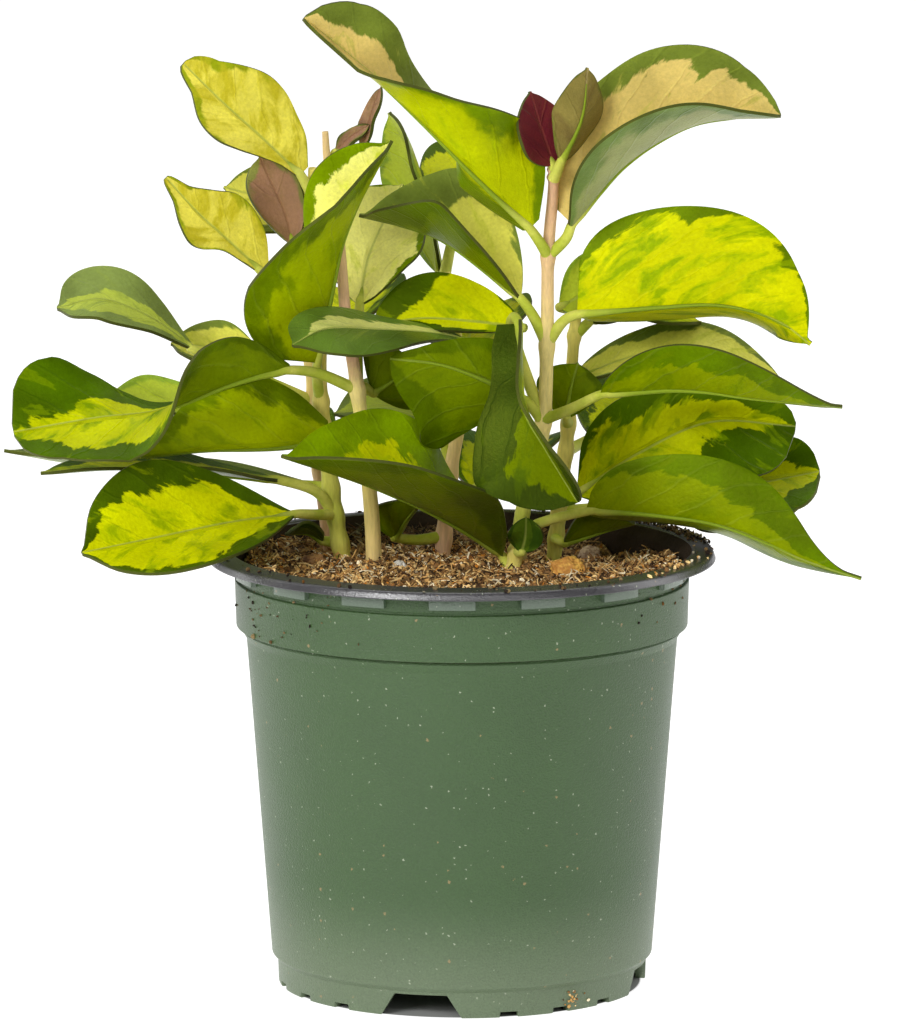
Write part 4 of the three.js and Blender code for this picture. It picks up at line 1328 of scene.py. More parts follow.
    def scatter(self, name: str, shape: bpy.types.Object, places: np.ndarray, sizes: np.ndarray,
                pick: np.random.Generator, tilt: float) -> None:
        """Copies one small shape to many places as one mesh.

        Args:
            name: the new piece's name.
            shape: the small shape; it is used up.
            places: where the copies lie, in mm.
            sizes: the copies' sizes along their own axes, in mm.
            pick: the random draws.
            tilt: the greatest slant, in radians.
        """
        form = points_of(shape)
        faces = np.array([face.vertices[:] for face in shape.data.polygons])
        count, each = len(places), len(form)
        spin = pick.uniform(0, 2 * math.pi, count)
        lean = pick.uniform(-tilt, tilt, count)
        cs, sn, cl, sl = np.cos(spin), np.sin(spin), np.cos(lean), np.sin(lean)
        rough = pick.uniform(0.8, 1.2, (count, each, 3))
        body = form[None] * sizes[:, None, :] * rough
        x, y, z = body[..., 0], body[..., 1], body[..., 2]
        x, z = x * cl[:, None] + z * sl[:, None], -x * sl[:, None] + z * cl[:, None]
        x, y = x * cs[:, None] - y * sn[:, None], x * sn[:, None] + y * cs[:, None]
        points = (np.stack([x, y, z], -1) + places[:, None, :]).reshape(-1, 3) * MM
        all_faces = (faces[None] + (np.arange(count) * each)[:, None, None]).reshape(-1, faces.shape[1])
        mesh = bpy.data.meshes.new(name)
        mesh.from_pydata(points.tolist(), [], all_faces.tolist())
        tint = mesh.attributes.new("tint", "FLOAT_COLOR", "POINT")
        rows = np.repeat(np.column_stack([self.tints(places, pick), np.ones(count)]), each, axis=0)
        tint.data.foreach_set("color", rows.astype(np.float32).ravel())
        mesh.materials.append(TintFinish().dress(name))
        piece = bpy.data.objects.new(name, mesh)
        bpy.context.scene.collection.objects.link(piece)
        bpy.data.objects.remove(shape)
        own(piece, "soil", "soil")

    def grain_sizes(self, count: int, pick: np.random.Generator, size: tuple[float, float],
                    shape: tuple[float, float]) -> np.ndarray:
        """Random half sizes of crumbs, in mm.

        Args:
            count: how many crumbs.
            pick: the random draws.
            size: the least and the greatest size.
            shape: the least and the greatest stretch along each of a crumb's axes.

        Returns:
            Three half sizes for each crumb.
        """
        return pick.uniform(*size, (count, 1)) * pick.uniform(*shape, (count, 3))

    def crumb(self) -> bpy.types.Object:
        """One angular crumb, about a millimetre in half.

        Returns:
            The crumb.
        """
        deselect_all()
        bpy.ops.mesh.primitive_ico_sphere_add(subdivisions=1, radius=1)
        return added("crumb")

    def fibre(self) -> bpy.types.Object:
        """One thin bowed fibre, two long, lying along X.

        Returns:
            The fibre.
        """
        deselect_all()
        bpy.ops.mesh.primitive_cylinder_add(vertices=4, radius=1, depth=2, end_fill_type="TRIFAN")
        fibre = added("fibre")
        bpy.ops.object.mode_set(mode="EDIT")
        for height in (-0.33, 0.33):
            bpy.ops.mesh.select_all(action="SELECT")
            bpy.ops.mesh.bisect(plane_co=(0, 0, height), plane_no=(0, 0, 1))
        bpy.ops.mesh.select_all(action="SELECT")
        bpy.ops.mesh.quads_convert_to_tris()
        bpy.ops.object.mode_set(mode="OBJECT")
        points = points_of(fibre)
        x, y, z = points.T
        move_points(fibre, np.column_stack([z, y + 2.5 * z * z, x - 1.5 * z * z]))
        return fibre

    def build(self) -> None:
        """Makes and dresses the soil."""
        self.bed()
        pick = np.random.default_rng(self.seed)
        places = self.places(self.crumbs, pick, 48.9)
        size = self.grain_sizes(self.crumbs, pick, self.crumb_size, self.crumb_shape)
        self.scatter("soil_crumbs", self.crumb(), places, size, pick, 1.3)
        places = self.places(self.fibres, pick, 48.0)
        places[:, 2] += pick.uniform(*self.fibre_lift, self.fibres)
        length = pick.uniform(*self.fibre_length, self.fibres) ** self.short_bias
        thin = pick.uniform(*self.fibre_thin, (self.fibres, 2))
        self.scatter("coir_fibres", self.fibre(), places, np.column_stack([length, thin]), pick, 1.0)
        places = np.vstack([self.lip_places(pick), self.wall_places(pick)])
        size = self.grain_sizes(len(places), pick, self.spilt_size, self.spilt_shape)
        places[:, 2] += np.where(np.hypot(places[:, 0], places[:, 1]) > 51, size[:, 2] * 0.5, 0)
        self.scatter("spilt_crumbs", self.crumb(), places, size, pick, 1.2)


@dataclass
class SoilLump:
    """A piece of bark or grit lying in the soil's surface."""

    name: str
    at: tuple[float, float]
    half: Point
    turn: float
    seed: float
    finish: LumpFinish
    slot: str
    pits: float = 0.28
    facets: float = 0.04
    sunk: float = 0.35

    def build(self) -> None:
        """Makes and dresses the lump."""
        deselect_all()
        bpy.ops.mesh.primitive_ico_sphere_add(subdivisions=5, radius=1)
        lump = added(self.name)
        points = points_of(lump)
        rough = np.array([noise.fractal(Vector(p) * 1.1 + Vector((self.seed, 0, 0)), 0.9, 2.0, 4)
                          for p in points])
        facets = np.array([noise.cell(Vector(p) * 1.6 + Vector((0, self.seed, 0))) for p in points])
        swell = 1 + self.pits * (rough - 0.1) + self.facets * (facets - 0.5)
        points = points * swell[:, None] * np.array(self.half)
        cs, sn = math.cos(math.radians(self.turn)), math.sin(math.radians(self.turn))
        x, y = points[:, 0] * cs - points[:, 1] * sn, points[:, 0] * sn + points[:, 1] * cs
        here = soil_height(np.array([self.at[0]]), np.array([self.at[1]]))[0] + self.half[2] * self.sunk
        move_points(lump, np.column_stack([x + self.at[0], y + self.at[1], points[:, 2] + here]) * MM)
        lump.data.materials.append(self.finish.dress(self.name))
        smooth(lump, 50)
        own(lump, self.slot, self.name)


# ---------------------------------------------------------------- leaves and stems

RIB_PLACES = (0.06, 0.16, 0.3, 0.46, 0.64, 0.84)
RIB_DEPTHS = (0.15, 0.35, 0.4, 0.36, 0.3, 0.25)
STALK_RADII = (1.4, 1.05, 0.9, 0.6, 0.46, 0.36, 0.28, 0.18)


@dataclass
class Leaf:
    """One leaf. Pairs hold left and right of the midrib, seen from the stem with the upper side up.

    stalk holds its stalk's points from the stem, midrib the blade's points from base to tip; half is
    the half width, face the directions its upper side looks in along the blade, fold the degrees each
    half is lifted, curl its further bend, peak where it is widest, taper and base how full its ends
    are, green how much of each half its green border takes, and under how its underside is coloured.
    widths, in the place of half, peak, taper and base, gives both half widths at even steps along. The
    fields from across on are the same for every leaf.
    """

    name: str
    look: Look
    stalk: list[Point]
    midrib: list[Point]
    face: list[Point]
    half: Pair = 10
    widths: list[tuple[float, float]] = field(default_factory=list)
    fold: Pair | list[tuple[float, float]] = 20
    curl: Pair = 10
    peak: Pair = 0.52
    taper: Pair = 0.8
    base: float = 0.68
    green: Pair | list[tuple[float, float]] = 0.2
    under: Look = Look.FERN
    across: int = 20
    along: int = 48
    thick: float = 0.75
    narrowest: float = 0.03
    blunt_end: float = 2.5
    end_share: float = 0.4
    tip_pinch: float = 0.7
    tip_reach: float = 0.045
    glance: float = 0.02
    crease: float = 1.0
    ripple: float = 0.5
    ripple_pace: float = 10.0
    ripple_lag: float = 1.9
    edge_round: float = 0.24
    stalk_sides: int = 12
    stalk_steps: int = 8

    def __post_init__(self) -> None:
        """Takes the greatest of the widths as the half widths."""
        if self.widths:
            self.half = tuple(max(row[k] for row in self.widths) for k in (0, 1))

    def axes(self, t: np.ndarray) -> tuple[np.ndarray, np.ndarray]:
        """The sideways and upward directions of the blade at places along it.

        Args:
            t: places along it, 0 to 1.

        Returns:
            Two unit vectors for each place.
        """
        ahead = unit(through(self.midrib, np.minimum(t + self.glance, 1))
                     - through(self.midrib, np.maximum(t - self.glance, 0)))
        up = mixed_along([tuple(Vector(d).normalized()) for d in self.face], t)
        up = unit(up - ahead * np.sum(up * ahead, axis=1, keepdims=True))
        return np.cross(ahead, up), up

    def spread(self, t: np.ndarray, side: np.ndarray) -> np.ndarray:
        """The half width at places along, as a share of its greatest.

        Args:
            t: places along the blade, 0 to 1.
            side: 0 for its left half, 1 for its right.

        Returns:
            One share for each place.
        """
        if self.widths:
            rows = through([(*row, 0.0) for row in self.widths], t)[np.arange(len(t)), side]
            last = 1 - 1 / (len(self.widths) - 1)
            before, end = np.array(self.widths[-2])[side], np.array(self.widths[-1])[side]
            arc = np.sqrt(np.clip(1 - ((t - last) / (1 - last)) ** 2, 0, 1))
            blunt = np.minimum(end / self.blunt_end, 1) * (t > last)
            rows = rows * (1 - blunt) + blunt * (self.end_share * end + (before - self.end_share * end) * arc)
            return np.maximum(rows / np.array(self.half)[side], self.narrowest)
        peak, taper = np.array(pair(self.peak))[side], np.array(pair(self.taper))[side]
        u = t ** (math.log(0.5) / np.log(peak))
        power = self.base + (taper - self.base) * t * t * (3 - 2 * t)
        blunt = 1 - self.tip_pinch * np.exp(-((1 - t) / self.tip_reach) ** 2)
        return np.maximum(np.sin(np.pi * np.minimum(u, 1)) ** power * blunt, self.narrowest)

    def keyed(self, value: Pair | list[tuple[float, float]], t: np.ndarray, side: np.ndarray) -> np.ndarray:
        """A value given for both halves, or for both halves at even steps along, read at many places."""
        rows = value if isinstance(value, list) else [pair(value)]
        return mixed_along(rows, t)[np.arange(len(t)), side]

    def surface(self, x: np.ndarray, t: np.ndarray) -> np.ndarray:
        """Points of the blade's middle surface for x, -1 to 1 across, and t, 0 to 1 along.

        Args:
            x: places across, -1 at the left edge and 1 at the right.
            t: places along, 0 at the base and 1 at the tip.

        Returns:
            One point for each, in mm.
        """
        sideways, up = self.axes(t)
        side = (x >= 0).astype(int)
        lift_angle = np.radians(self.keyed(self.fold, t, side))
        bend = np.radians(np.array(pair(self.curl), float))[side]
        width = np.array(pair(self.half), float)[side]
        d = np.abs(x) * self.spread(t, side)
        lateral = (np.sin(lift_angle + bend * d) - np.sin(lift_angle)) / bend
        crease = np.sqrt((d * width) ** 2 + self.crease) - self.crease
        lift = (np.cos(lift_angle) - np.cos(lift_angle + bend * d)) / bend
        lift = lift * width * crease / np.maximum(d * width, 1e-6)
        phase = self.ripple_pace * t + np.where(x < 0, self.ripple_lag, 0) + self.midrib[0][0]
        ripple = self.ripple * d * np.abs(x) * np.sin(phase)
        return through(self.midrib, t) + sideways * (np.where(x < 0, -1, 1) * lateral * width)[:, None] \
            + up * (lift + ripple)[:, None]

    def blade(self, materials: Sequence[bpy.types.Material]) -> bpy.types.Object:
        """The blade: a grid laid on the surface, given its thickness and a soft edge.

        Args:
            materials: those of the upper side, the underside and the edge.

        Returns:
            The blade.
        """
        deselect_all()
        bpy.ops.mesh.primitive_grid_add(x_subdivisions=self.across, y_subdivisions=self.along, size=2)
        blade = added(self.name)
        flat = points_of(blade)
        x, t = flat[:, 0], (flat[:, 1] + 1) / 2
        move_points(blade, self.surface(x, t) * MM)
        length = np.linalg.norm(np.diff(np.array(self.midrib, float), axis=0), axis=1).sum()
        side = (x >= 0).astype(int)
        width = np.array(pair(self.half), float)[side]
        seed = (sum(map(ord, self.name)) * 0.37) % 50
        self.mark(blade, "blade", np.column_stack([x * self.spread(t, side) * width, t * length,
                                                   np.full(len(x), seed)]))
        inside = 1 - self.keyed(self.green, t, side)
        self.mark(blade, "share", np.column_stack([np.abs(x) - inside, t, side]))
        for material in materials:
            blade.data.materials.append(material)
        shell = blade.modifiers.new("thickness", "SOLIDIFY")
        shell.thickness, shell.offset = self.thick * MM, 0
        shell.material_offset, shell.material_offset_rim = 1, 2
        rounding = blade.modifiers.new("rounding", "BEVEL")
        rounding.width, rounding.segments = self.edge_round * MM, 2
        rounding.limit_method, rounding.angle_limit = "ANGLE", math.radians(60)
        apply_modifiers(blade)
        smooth(blade, 60)
        return blade

    def mark(self, piece: bpy.types.Object, name: str, rows: np.ndarray) -> None:
        """Stores one vector on each point of a piece."""
        marks = piece.data.attributes.new(name, "FLOAT_VECTOR", "POINT")
        marks.data.foreach_set("vector", rows.astype(np.float32).ravel())

    def stalk_and_rib(self, material: bpy.types.Material) -> bpy.types.Object:
        """The stalk, running on as a tapering rib under the blade.

        Args:
            material: the stalk's material.

        Returns:
            The stalk.
        """
        ribs = np.array(RIB_PLACES)
        _, up = self.axes(ribs)
        below = through(self.midrib, ribs) - up * np.array(RIB_DEPTHS)[:, None]
        run = [*self.stalk, self.midrib[0], *map(tuple, below)]
        keys = [0, len(self.stalk), *range(len(self.stalk) + 1, len(run))]
        steps = self.stalk_steps * len(run)
        stalk = tube(f"{self.name}_stalk", lambda t: through(run, t),
                     lambda t: np.interp(t * (len(run) - 1), keys, STALK_RADII), self.stalk_sides, steps)
        rings = np.linspace(0, 1, steps + 1)
        starts = np.linalg.norm(points_of(stalk)[:, None] / MM - through(run, rings)[None], axis=2)
        on_rib = (rings[np.argmin(starts, axis=1)] * (len(run) - 1) - len(self.stalk)) / len(ribs)
        self.mark(stalk, "share", np.column_stack([np.zeros(len(on_rib)), on_rib, np.zeros(len(on_rib))]))
        stalk.data.materials.append(material)
        smooth(stalk, 60)
        return stalk


@dataclass
class LeafyStem:
    """A stem with the leaves it carries, dressed from foot to tip."""

    name: str
    path: list[Point]
    radius: tuple[float, float]
    finish: StemFinish
    leaves: list[Leaf] = field(default_factory=list)
    sides: int = 20
    steps: int = 110
    swelling: float = 0.45
    swell_reach: float = 1.9

    def node_places(self) -> list[float]:
        """Where along the stem its leaves start, 0 to 1.

        Returns:
            One place for each leaf.
        """
        t = np.linspace(0, 1, 200)
        way = through(self.path, t)
        return [float(t[np.argmin(np.linalg.norm(way - np.array(leaf.stalk[0]), axis=1))])
                for leaf in self.leaves]

    def thickness(self, t: np.ndarray) -> np.ndarray:
        """The stem's radius at places along it, swollen where leaves start.

        Args:
            t: places along it, 0 to 1.

        Returns:
            One radius for each, in mm.
        """
        length = np.linalg.norm(np.diff(np.array(self.path, float), axis=0), axis=1).sum()
        swell = np.zeros(len(t))
        for place in self.node_places():
            swell = np.maximum(swell, np.exp(-((t - place) * length / self.swell_reach) ** 2))
        return self.radius[0] + (self.radius[1] - self.radius[0]) * t + self.swelling * swell

    def build(self, dyes: "Dyes") -> None:
        """Makes and dresses the stem and its leaves.

        Args:
            dyes: the materials that all leaves share.
        """
        stem = tube(self.name, lambda t: through(self.path, t), self.thickness, self.sides, self.steps)
        stem.name = f"{self.name}_stalk"
        stem.data.materials.append(self.finish.dress(self.name))
        smooth(stem, 60)
        own(stem, "foliage", self.name)
        for leaf in self.leaves:
            blade = leaf.blade([dyes.side(leaf.look), dyes.side(leaf.under), dyes.edge()])
            stalk = leaf.stalk_and_rib(dyes.stalk())
            own(joined(leaf.name, [blade, stalk]), "foliage", self.name)


class Dyes:
    """The materials that leaves share, each made when it is first wanted."""

    def __init__(self) -> None:
        """Starts with none made."""
        self.made: dict[str, bpy.types.Material] = {}

    def get(self, name: str, finish: LeafFinish | StalkFinish) -> bpy.types.Material:
        """The material of that name, made from its finish the first time.

        Args:
            name: the material's name.
            finish: what it is made from.

        Returns:
            The material.
        """
        if name not in self.made:
            self.made[name] = finish.dress(name)
        return self.made[name]

    def side(self, look: Look) -> bpy.types.Material:
        """The material of one side of a leaf."""
        return self.get(f"leaf_{look.value}", LOOKS[look])

    def edge(self) -> bpy.types.Material:
        """The material of a leaf's thin edge."""
        return self.get("leaf_edge", EDGE)

    def stalk(self) -> bpy.types.Material:
        """The leaf stalks' material."""
        return self.get("leaf_stalk", STALK)


LEAVES: dict[str, list[Leaf]] = {
    "right_stem": [
        Leaf("crown_left", Look.TAN, stalk=[(19.2, -1, 165), (17.5, -4, 168.2)],
             midrib=[(15, -6, 171.9), (4, -10, 182.8), (-9.5, -11, 197), (-23, -12, 209.5),
               (-35, -14, 219.6)],
             widths=[(3, 3), (13, 9), (16.5, 12), (15, 13.5), (12, 10.5), (10, 9.5), (8, 12),
               (5.5, 10.5), (1, 1.5)],
             face=[(-0.1, 0.95, 0.2), (-0.1, 0.9, 0.3), (0.6, 0.1, 0.7), (0.3, -0.9, 0.2),
               (0.1, -0.97, 0)], fold=[(5, 60), (20, 55), (60, 15), (80, 8)],
             green=[(0.35, 0.8), (0.3, 0.9), (0.2, 0.7), (0.12, 0.42), (0.3, 0.6)], under=Look.GLOW),
        Leaf("crown_right", Look.TAN, stalk=[(19.2, -1, 165), (23, -3, 169)],
             midrib=[(24.5, -4, 172.5), (37, -7, 187), (53, -9, 196), (70.5, -12, 197.8)],
             widths=[(6, 3), (15, 12), (18.5, 17), (19.5, 19), (19.5, 18), (17, 14), (11.5, 7.5),
               (1, 1)], face=[(-0.5, -0.4, 0.75)], fold=50,
             green=[(0.1, 0.3), (0.15, 0.3), (0.2, 0.3), (0.25, 0.35), (0.5, 0.6)], under=Look.SHADE),
        Leaf("big_right", Look.YELLOW, stalk=[(19, 2, 144.7), (22.5, 0, 150)],
             midrib=[(26, -2, 152), (42, -5, 154), (58, -8, 155), (70, -11, 152), (77.5, -12, 146.8)],
             half=(17, 22.8), face=[(0, 0.85, 0.5)], fold=38, peak=(0.5, 0.36), taper=(1, 1.15),
             base=0.45, green=0.06, under=Look.YELLOW),
        Leaf("arching_left", Look.SAGE, stalk=[(19, 2, 144.7), (16, 1, 151)],
             midrib=[(13, 1, 155.2), (3, 4, 163), (-4, 7, 167.3), (-11, 9, 169.8), (-23, 12, 172.4)],
             half=(19, 18.5), face=[(0.41, -0.32, 0.85)], fold=42,
             green=[(0.1, 0.1), (0.12, 0.12), (0.2, 0.2), (0.8, 0.8), (1.2, 1.2)], under=Look.MOSS),
        Leaf("young_red", Look.RED, stalk=[(20.4, -6, 185)],
             midrib=[(20.2, -6.5, 186), (17.5, -7, 194), (15, -7, 202.6)], half=(7.8, 6.3),
             face=[(0.4, -0.8, 0.3)], fold=15, peak=0.46, green=0.1, under=Look.RED),
        Leaf("young_brown", Look.RUSSET, stalk=[(20.4, -6, 183)],
             midrib=[(22, -9.5, 187.3), (26.4, -12, 197.5), (27.6, -12, 208.5)], half=6.6,
             face=[(-0.4, 0.8, 0.3)], green=0.12, under=Look.RUSSET),
        Leaf("front_hanging", Look.POOL, stalk=[(18, 5, 127), (11.5, 4, 146), (11.5, 0, 151)],
             midrib=[(12.6, -5, 150.3), (13, -11, 140.8), (14, -17, 132.6), (18.6, -20.2, 124.6),
               (25.8, -19.4, 112.4)],
             widths=[(3, 5), (6, 6.2), (8.5, 6.6), (9.5, 8), (9.5, 12.5), (9, 17), (8, 18), (5.5, 13.5),
               (1, 1.5)], face=[(-0.4, -0.9, 0.08)],
             fold=[(60, 25), (65, 15), (65, 5), (60, 0), (40, 10)],
             green=[(0.4, 1.1), (0.3, 1.1), (0.4, 0.9), (0.6, 0.4), (1.0, 0.8)]),
        Leaf("middle_left_low", Look.DEEP, stalk=[(18, 5, 127), (15, 3, 131)],
             midrib=[(11.5, -3, 134), (4, -6, 138), (-5, -8, 141.5), (-16, -8, 142.8)],
             widths=[(1, 3), (8.5, 13), (9.5, 19), (8, 20), (5.5, 18), (3, 11.5), (0.6, 1)],
             face=[(0.1, 0.93, -0.3)], fold=(0, 25),
             green=[(0.2, 0.2), (0.3, 0.3), (0.5, 0.6), (0.8, 0.8)], under=Look.MOSS),
        Leaf("low_right", Look.JADE, stalk=[(18, 5, 127), (24, 1, 130)],
             midrib=[(31, -3, 134), (49, -8, 136), (65, -12, 134.6), (84.4, -16, 133.3)],
             half=(14, 13.2), face=[(0, 0.55, 0.83)], fold=25, peak=0.44, taper=1.3,
             green=[(0.2, 0.2), (0.3, 0.4), (0.5, 0.6), (0.8, 0.9)], under=Look.JADE),
    ],
    "topped_stem": [
        Leaf("s_curve", Look.DEEP, stalk=[(-23.8, 5, 134), (-32, 2, 138)],
             midrib=[(-38.6, -2, 139.4), (-51, -9, 137.5), (-67, -13, 132), (-81, -16, 130.7),
               (-99.5, -18, 127.8)],
             widths=[(1.5, 1), (7.5, 1.4), (11.5, 2), (13.6, 3), (14.5, 4.4), (14.2, 7.5), (12.8, 12),
               (9.8, 15.5), (2, 5)],
             face=[(0, 0.95, 0.3), (0, 0.9, 0.4), (0, 0.45, 0.9), (0, -0.35, 0.94), (0, -0.65, 0.76),
               (0, -0.85, 0.5)], fold=[(15, 40), (15, 30), (-20, 10), (20, 15)],
             green=[(0.3, 0.5), (0.3, 0.6), (0.25, 0.7), (0.3, 0.7), (0.45, 0.85)], under=Look.MOSS),
        Leaf("behind_middle", Look.DARK, stalk=[(-23.5, 5, 134), (-22, 8, 134)],
             midrib=[(-20, 9, 132.5), (-15.5, 8.5, 135.5), (-10, 7, 139.5)], half=10.5,
             face=[(0.3, 0.8, 0.5)], fold=15, green=0.3, under=Look.MOSS),
        Leaf("cream_behind", Look.CREAM, stalk=[(-23.5, 5, 134), (-23.5, 11, 143)],
             midrib=[(-23, 13, 152), (-21, 17, 162), (-17.5, 20, 170), (-13.5, 23, 178)], half=13,
             face=[(-0.2, -0.95, 0.2)],
             green=[(0.05, 0.15), (0.04, 0.2), (0.05, 0.3), (0.1, 0.4)]),
        Leaf("young_middle", Look.BROWN, stalk=[(-29, 9, 180), (-25, 11, 184)],
             midrib=[(-22.5, 12, 187), (-20.5, 12, 194), (-18, 12, 201.5)], half=2.6,
             face=[(-0.5, -0.7, 0.3)], fold=30, green=0.12, under=Look.RUSSET),
        Leaf("young_pink", Look.BROWN, stalk=[(-29, 9, 178), (-29, 10, 184)],
             midrib=[(-28.5, 10.5, 186.5), (-25, 11, 190), (-20.5, 11, 193)], half=2.2,
             face=[(0, -0.8, 0.5)], fold=30, green=0.1, under=Look.BROWN),
    ],
    "left_stem": [
        Leaf("folded_upright", Look.CREAM, stalk=[(-31.8, 12.3, 130), (-32.6, 10.5, 136)],
             midrib=[(-32.4, 7.5, 140), (-29.6, 2, 155), (-26.3, -3, 169.6), (-21, -5, 181.4),
               (-15.7, -4, 191.3)], half=(12.5, 22.5),
             face=[(-0.93, 0.35, 0.13), (-0.93, 0.1, 0.25), (-0.8, -0.42, 0.35), (-0.75, -0.6, 0.35)],
             fold=(60, 44), peak=(0.66, 0.34), taper=(0.7, 0.95), base=0.6,
             green=[(0.3, 0.3), (0.22, 0.3), (0.16, 0.3), (0.22, 0.35), (0.6, 0.6)]),
        Leaf("left_underside", Look.DEEP, stalk=[(-31.3, 13, 123)],
             midrib=[(-30, 9, 121.5), (-43, 2, 121), (-57, -3, 121.3), (-72, -6, 120.3)],
             widths=[(5, 1), (12, 5), (15.8, 8), (17.3, 9), (16.6, 9), (13.2, 7), (7, 4), (1, 0.6)],
             face=[(0, 0.9, 0.4)], fold=(35, 75),
             green=[(0.3, 0.3), (0.25, 0.25), (0.35, 0.35), (0.7, 0.7)]),
        Leaf("left_edge_low", Look.DEEP, stalk=[(-28.7, 14, 104), (-33, 10, 110)],
             midrib=[(-41, 7, 113), (-59, 1, 116), (-77, -4, 117.6), (-94, -8, 117)], half=(10, 12),
             face=[(0, -0.02, 1)], fold=8, green=0.5, under=Look.MOSS),
        Leaf("left_edge_far", Look.GREY, stalk=[(-30, 14, 110)],
             midrib=[(-33, 15, 110.5), (-50, 15.5, 112.6), (-70, 14.5, 114), (-88, 12, 116.3),
               (-103, 9, 119.4)], half=10.5, face=[(0, 0.05, 1)], fold=8, green=0.6, under=Look.GREY),
        Leaf("left_low_bright", Look.FRESH, stalk=[(-28.7, 14, 104), (-33, 8, 105)],
             midrib=[(-37, 3, 106), (-52, -11, 106.2), (-68, -21, 104.5), (-84, -29, 102.5)], half=17.5,
             face=[(0, -0.75, 0.65)], fold=25, peak=0.63, taper=0.58,
             green=[(0.5, 0.5), (0.35, 0.4), (0.2, 0.3), (0.12, 0.35), (0.14, 0.4), (0.35, 0.6)],
             under=Look.MOSS),
        Leaf("left_behind", Look.LIME, stalk=[(-31.3, 13, 124), (-45, 13, 127.5)],
             midrib=[(-56, 12, 128.2), (-68, 11, 129.5), (-81, 10, 130)],
             face=[(0, -0.3, 0.95)], fold=12),
        Leaf("left_small_dark", Look.DARK, stalk=[(-27.5, 14.5, 97.5)],
             midrib=[(-31.5, 16, 97.6), (-35, 15.5, 99.6), (-40, 15, 99.3)], half=7,
             face=[(0, 0.2, 0.9)], fold=10, green=0.3, under=Look.DARK),
    ],
    "rear_left_stem": [
        Leaf("top_left", Look.GOLD, stalk=[(-33.8, 20, 176)],
             midrib=[(-36.3, 18, 180.8), (-44.5, 16, 189), (-53.5, 14, 197.5), (-62.4, 12, 206.6)],
             widths=[(0.8, 2.5), (1.7, 7), (3.8, 9.4), (6.3, 11.4), (8.2, 11.5), (7.4, 9.6), (3.5, 6.2),
               (1.2, 1.6)], face=[(0.2, -0.9, 0.3)], fold=10,
             green=[(0.05, 0.05), (0.06, 0.06), (0.1, 0.1), (0.35, 0.35)], under=Look.GOLD),
        Leaf("upper_left", Look.GOLD, stalk=[(-34.5, 24, 152), (-38.5, 19, 154.5)],
             midrib=[(-44.8, 16, 158.9), (-53.2, 14.5, 167), (-59.2, 13.3, 172.7), (-66.4, 12, 180.9)],
             widths=[(0.6, 2), (1.5, 6.6), (2.7, 8.7), (5.8, 9.5), (6.9, 8.8), (5.3, 6.1), (2.4, 2.6),
               (0.8, 0.8)], face=[(0, -0.9, 0.4)], fold=10,
             green=[(0.05, 0.05), (0.06, 0.06), (0.12, 0.12), (0.4, 0.4)], under=Look.GOLD),
        Leaf("young_rear", Look.BROWN, stalk=[(-34.2, 23, 163)],
             midrib=[(-38, 22, 164.2), (-40, 21, 172), (-43.5, 20.5, 180), (-45.5, 20, 184.7)],
             half=6.4, face=[(0, -0.9, 0.1)], peak=0.55, taper=0.65,
             green=[(0.1, 0.1), (0.12, 0.12), (0.15, 0.15), (0.7, 0.7)], under=Look.BROWN),
        Leaf("pale_rear", Look.SAGE, stalk=[(-34.2, 24, 165)],
             midrib=[(-34, 28, 168), (-43, 31, 173), (-54, 33, 176)], half=9, face=[(0, -0.8, 0.4)],
             fold=10, green=0.25, under=Look.SAGE),
        Leaf("far_left", Look.GREY, stalk=[(-33.5, 25, 128), (-45, 20, 134)],
             midrib=[(-59.5, 15, 141), (-70, 13, 149), (-81, 12, 153.3), (-91, 11, 151.4)],
             half=(11, 9.6), face=[(0, -0.5, 0.85)], fold=12, peak=0.66, taper=0.6,
             green=[(0.5, 0.6), (0.3, 0.6), (0.35, 0.75), (0.7, 0.9)], under=Look.GREY),
        Leaf("pale_left", Look.SAGE, stalk=[(-34, 25, 140)],
             midrib=[(-46, 26, 139), (-56, 27, 140), (-66, 27, 141)], half=7.5, face=[(0, -0.6, 0.8)],
             fold=10, green=0.25, under=Look.SAGE),
        Leaf("rear_left_back", Look.FRESH, stalk=[(-34.3, 25, 138)],
             midrib=[(-30, 32, 141), (-27, 44, 147), (-26, 56, 149), (-27, 67, 147)], half=14,
             face=[(0, 0.1, 1)], fold=12, green=0.3),
        Leaf("rear_left_low", Look.DEEP, stalk=[(-32, 26, 112)],
             midrib=[(-34, 31, 115), (-40, 44, 118), (-46, 56, 118), (-52, 66, 115)], half=14,
             face=[(0, 0.1, 1)], fold=12, green=0.4),
    ],
    "middle_stem": [
        Leaf("centre_striped", Look.STRIPED, stalk=[(0, 18.5, 140), (3, 15, 142)],
             midrib=[(2, 14, 143.3), (-6, 9.5, 145.8), (-18, -1.5, 148.3), (-30, -10, 149.8),
               (-37.6, -15, 146.8)], half=(11.5, 9.4), face=[(0, -0.42, 0.9)], fold=8, curl=-20,
             peak=(0.72, 0.66), taper=0.6,
             green=[(1.2, 0.6), (1.2, 0.5), (1.2, 0.5), (1.2, 0.65), (1.2, 1.1)], under=Look.MOSS),
        Leaf("centre_cream", Look.FRESH, stalk=[(-2, 20, 148), (8, 15, 147.2)],
             midrib=[(14, 13, 146.7), (2, 13.5, 148.1), (-10, 13.5, 148.7), (-21, 14.5, 146.3)],
             half=(3.4, 10.6), face=[(0, -0.87, 0.48)], fold=12,
             green=[(0.1, 0.1), (0.1, 0.08), (0.4, 0.15), (1.1, 0.8), (1.2, 1.2)]),
        Leaf("narrow_back", Look.LIME, stalk=[(-4, 22, 156)],
             midrib=[(-5, 27, 157), (-8, 31, 172), (-11.5, 32, 184.2), (-16.5, 33, 193.1)], half=12,
             face=[(-0.9, -0.3, 0.2)], under=Look.LIME),
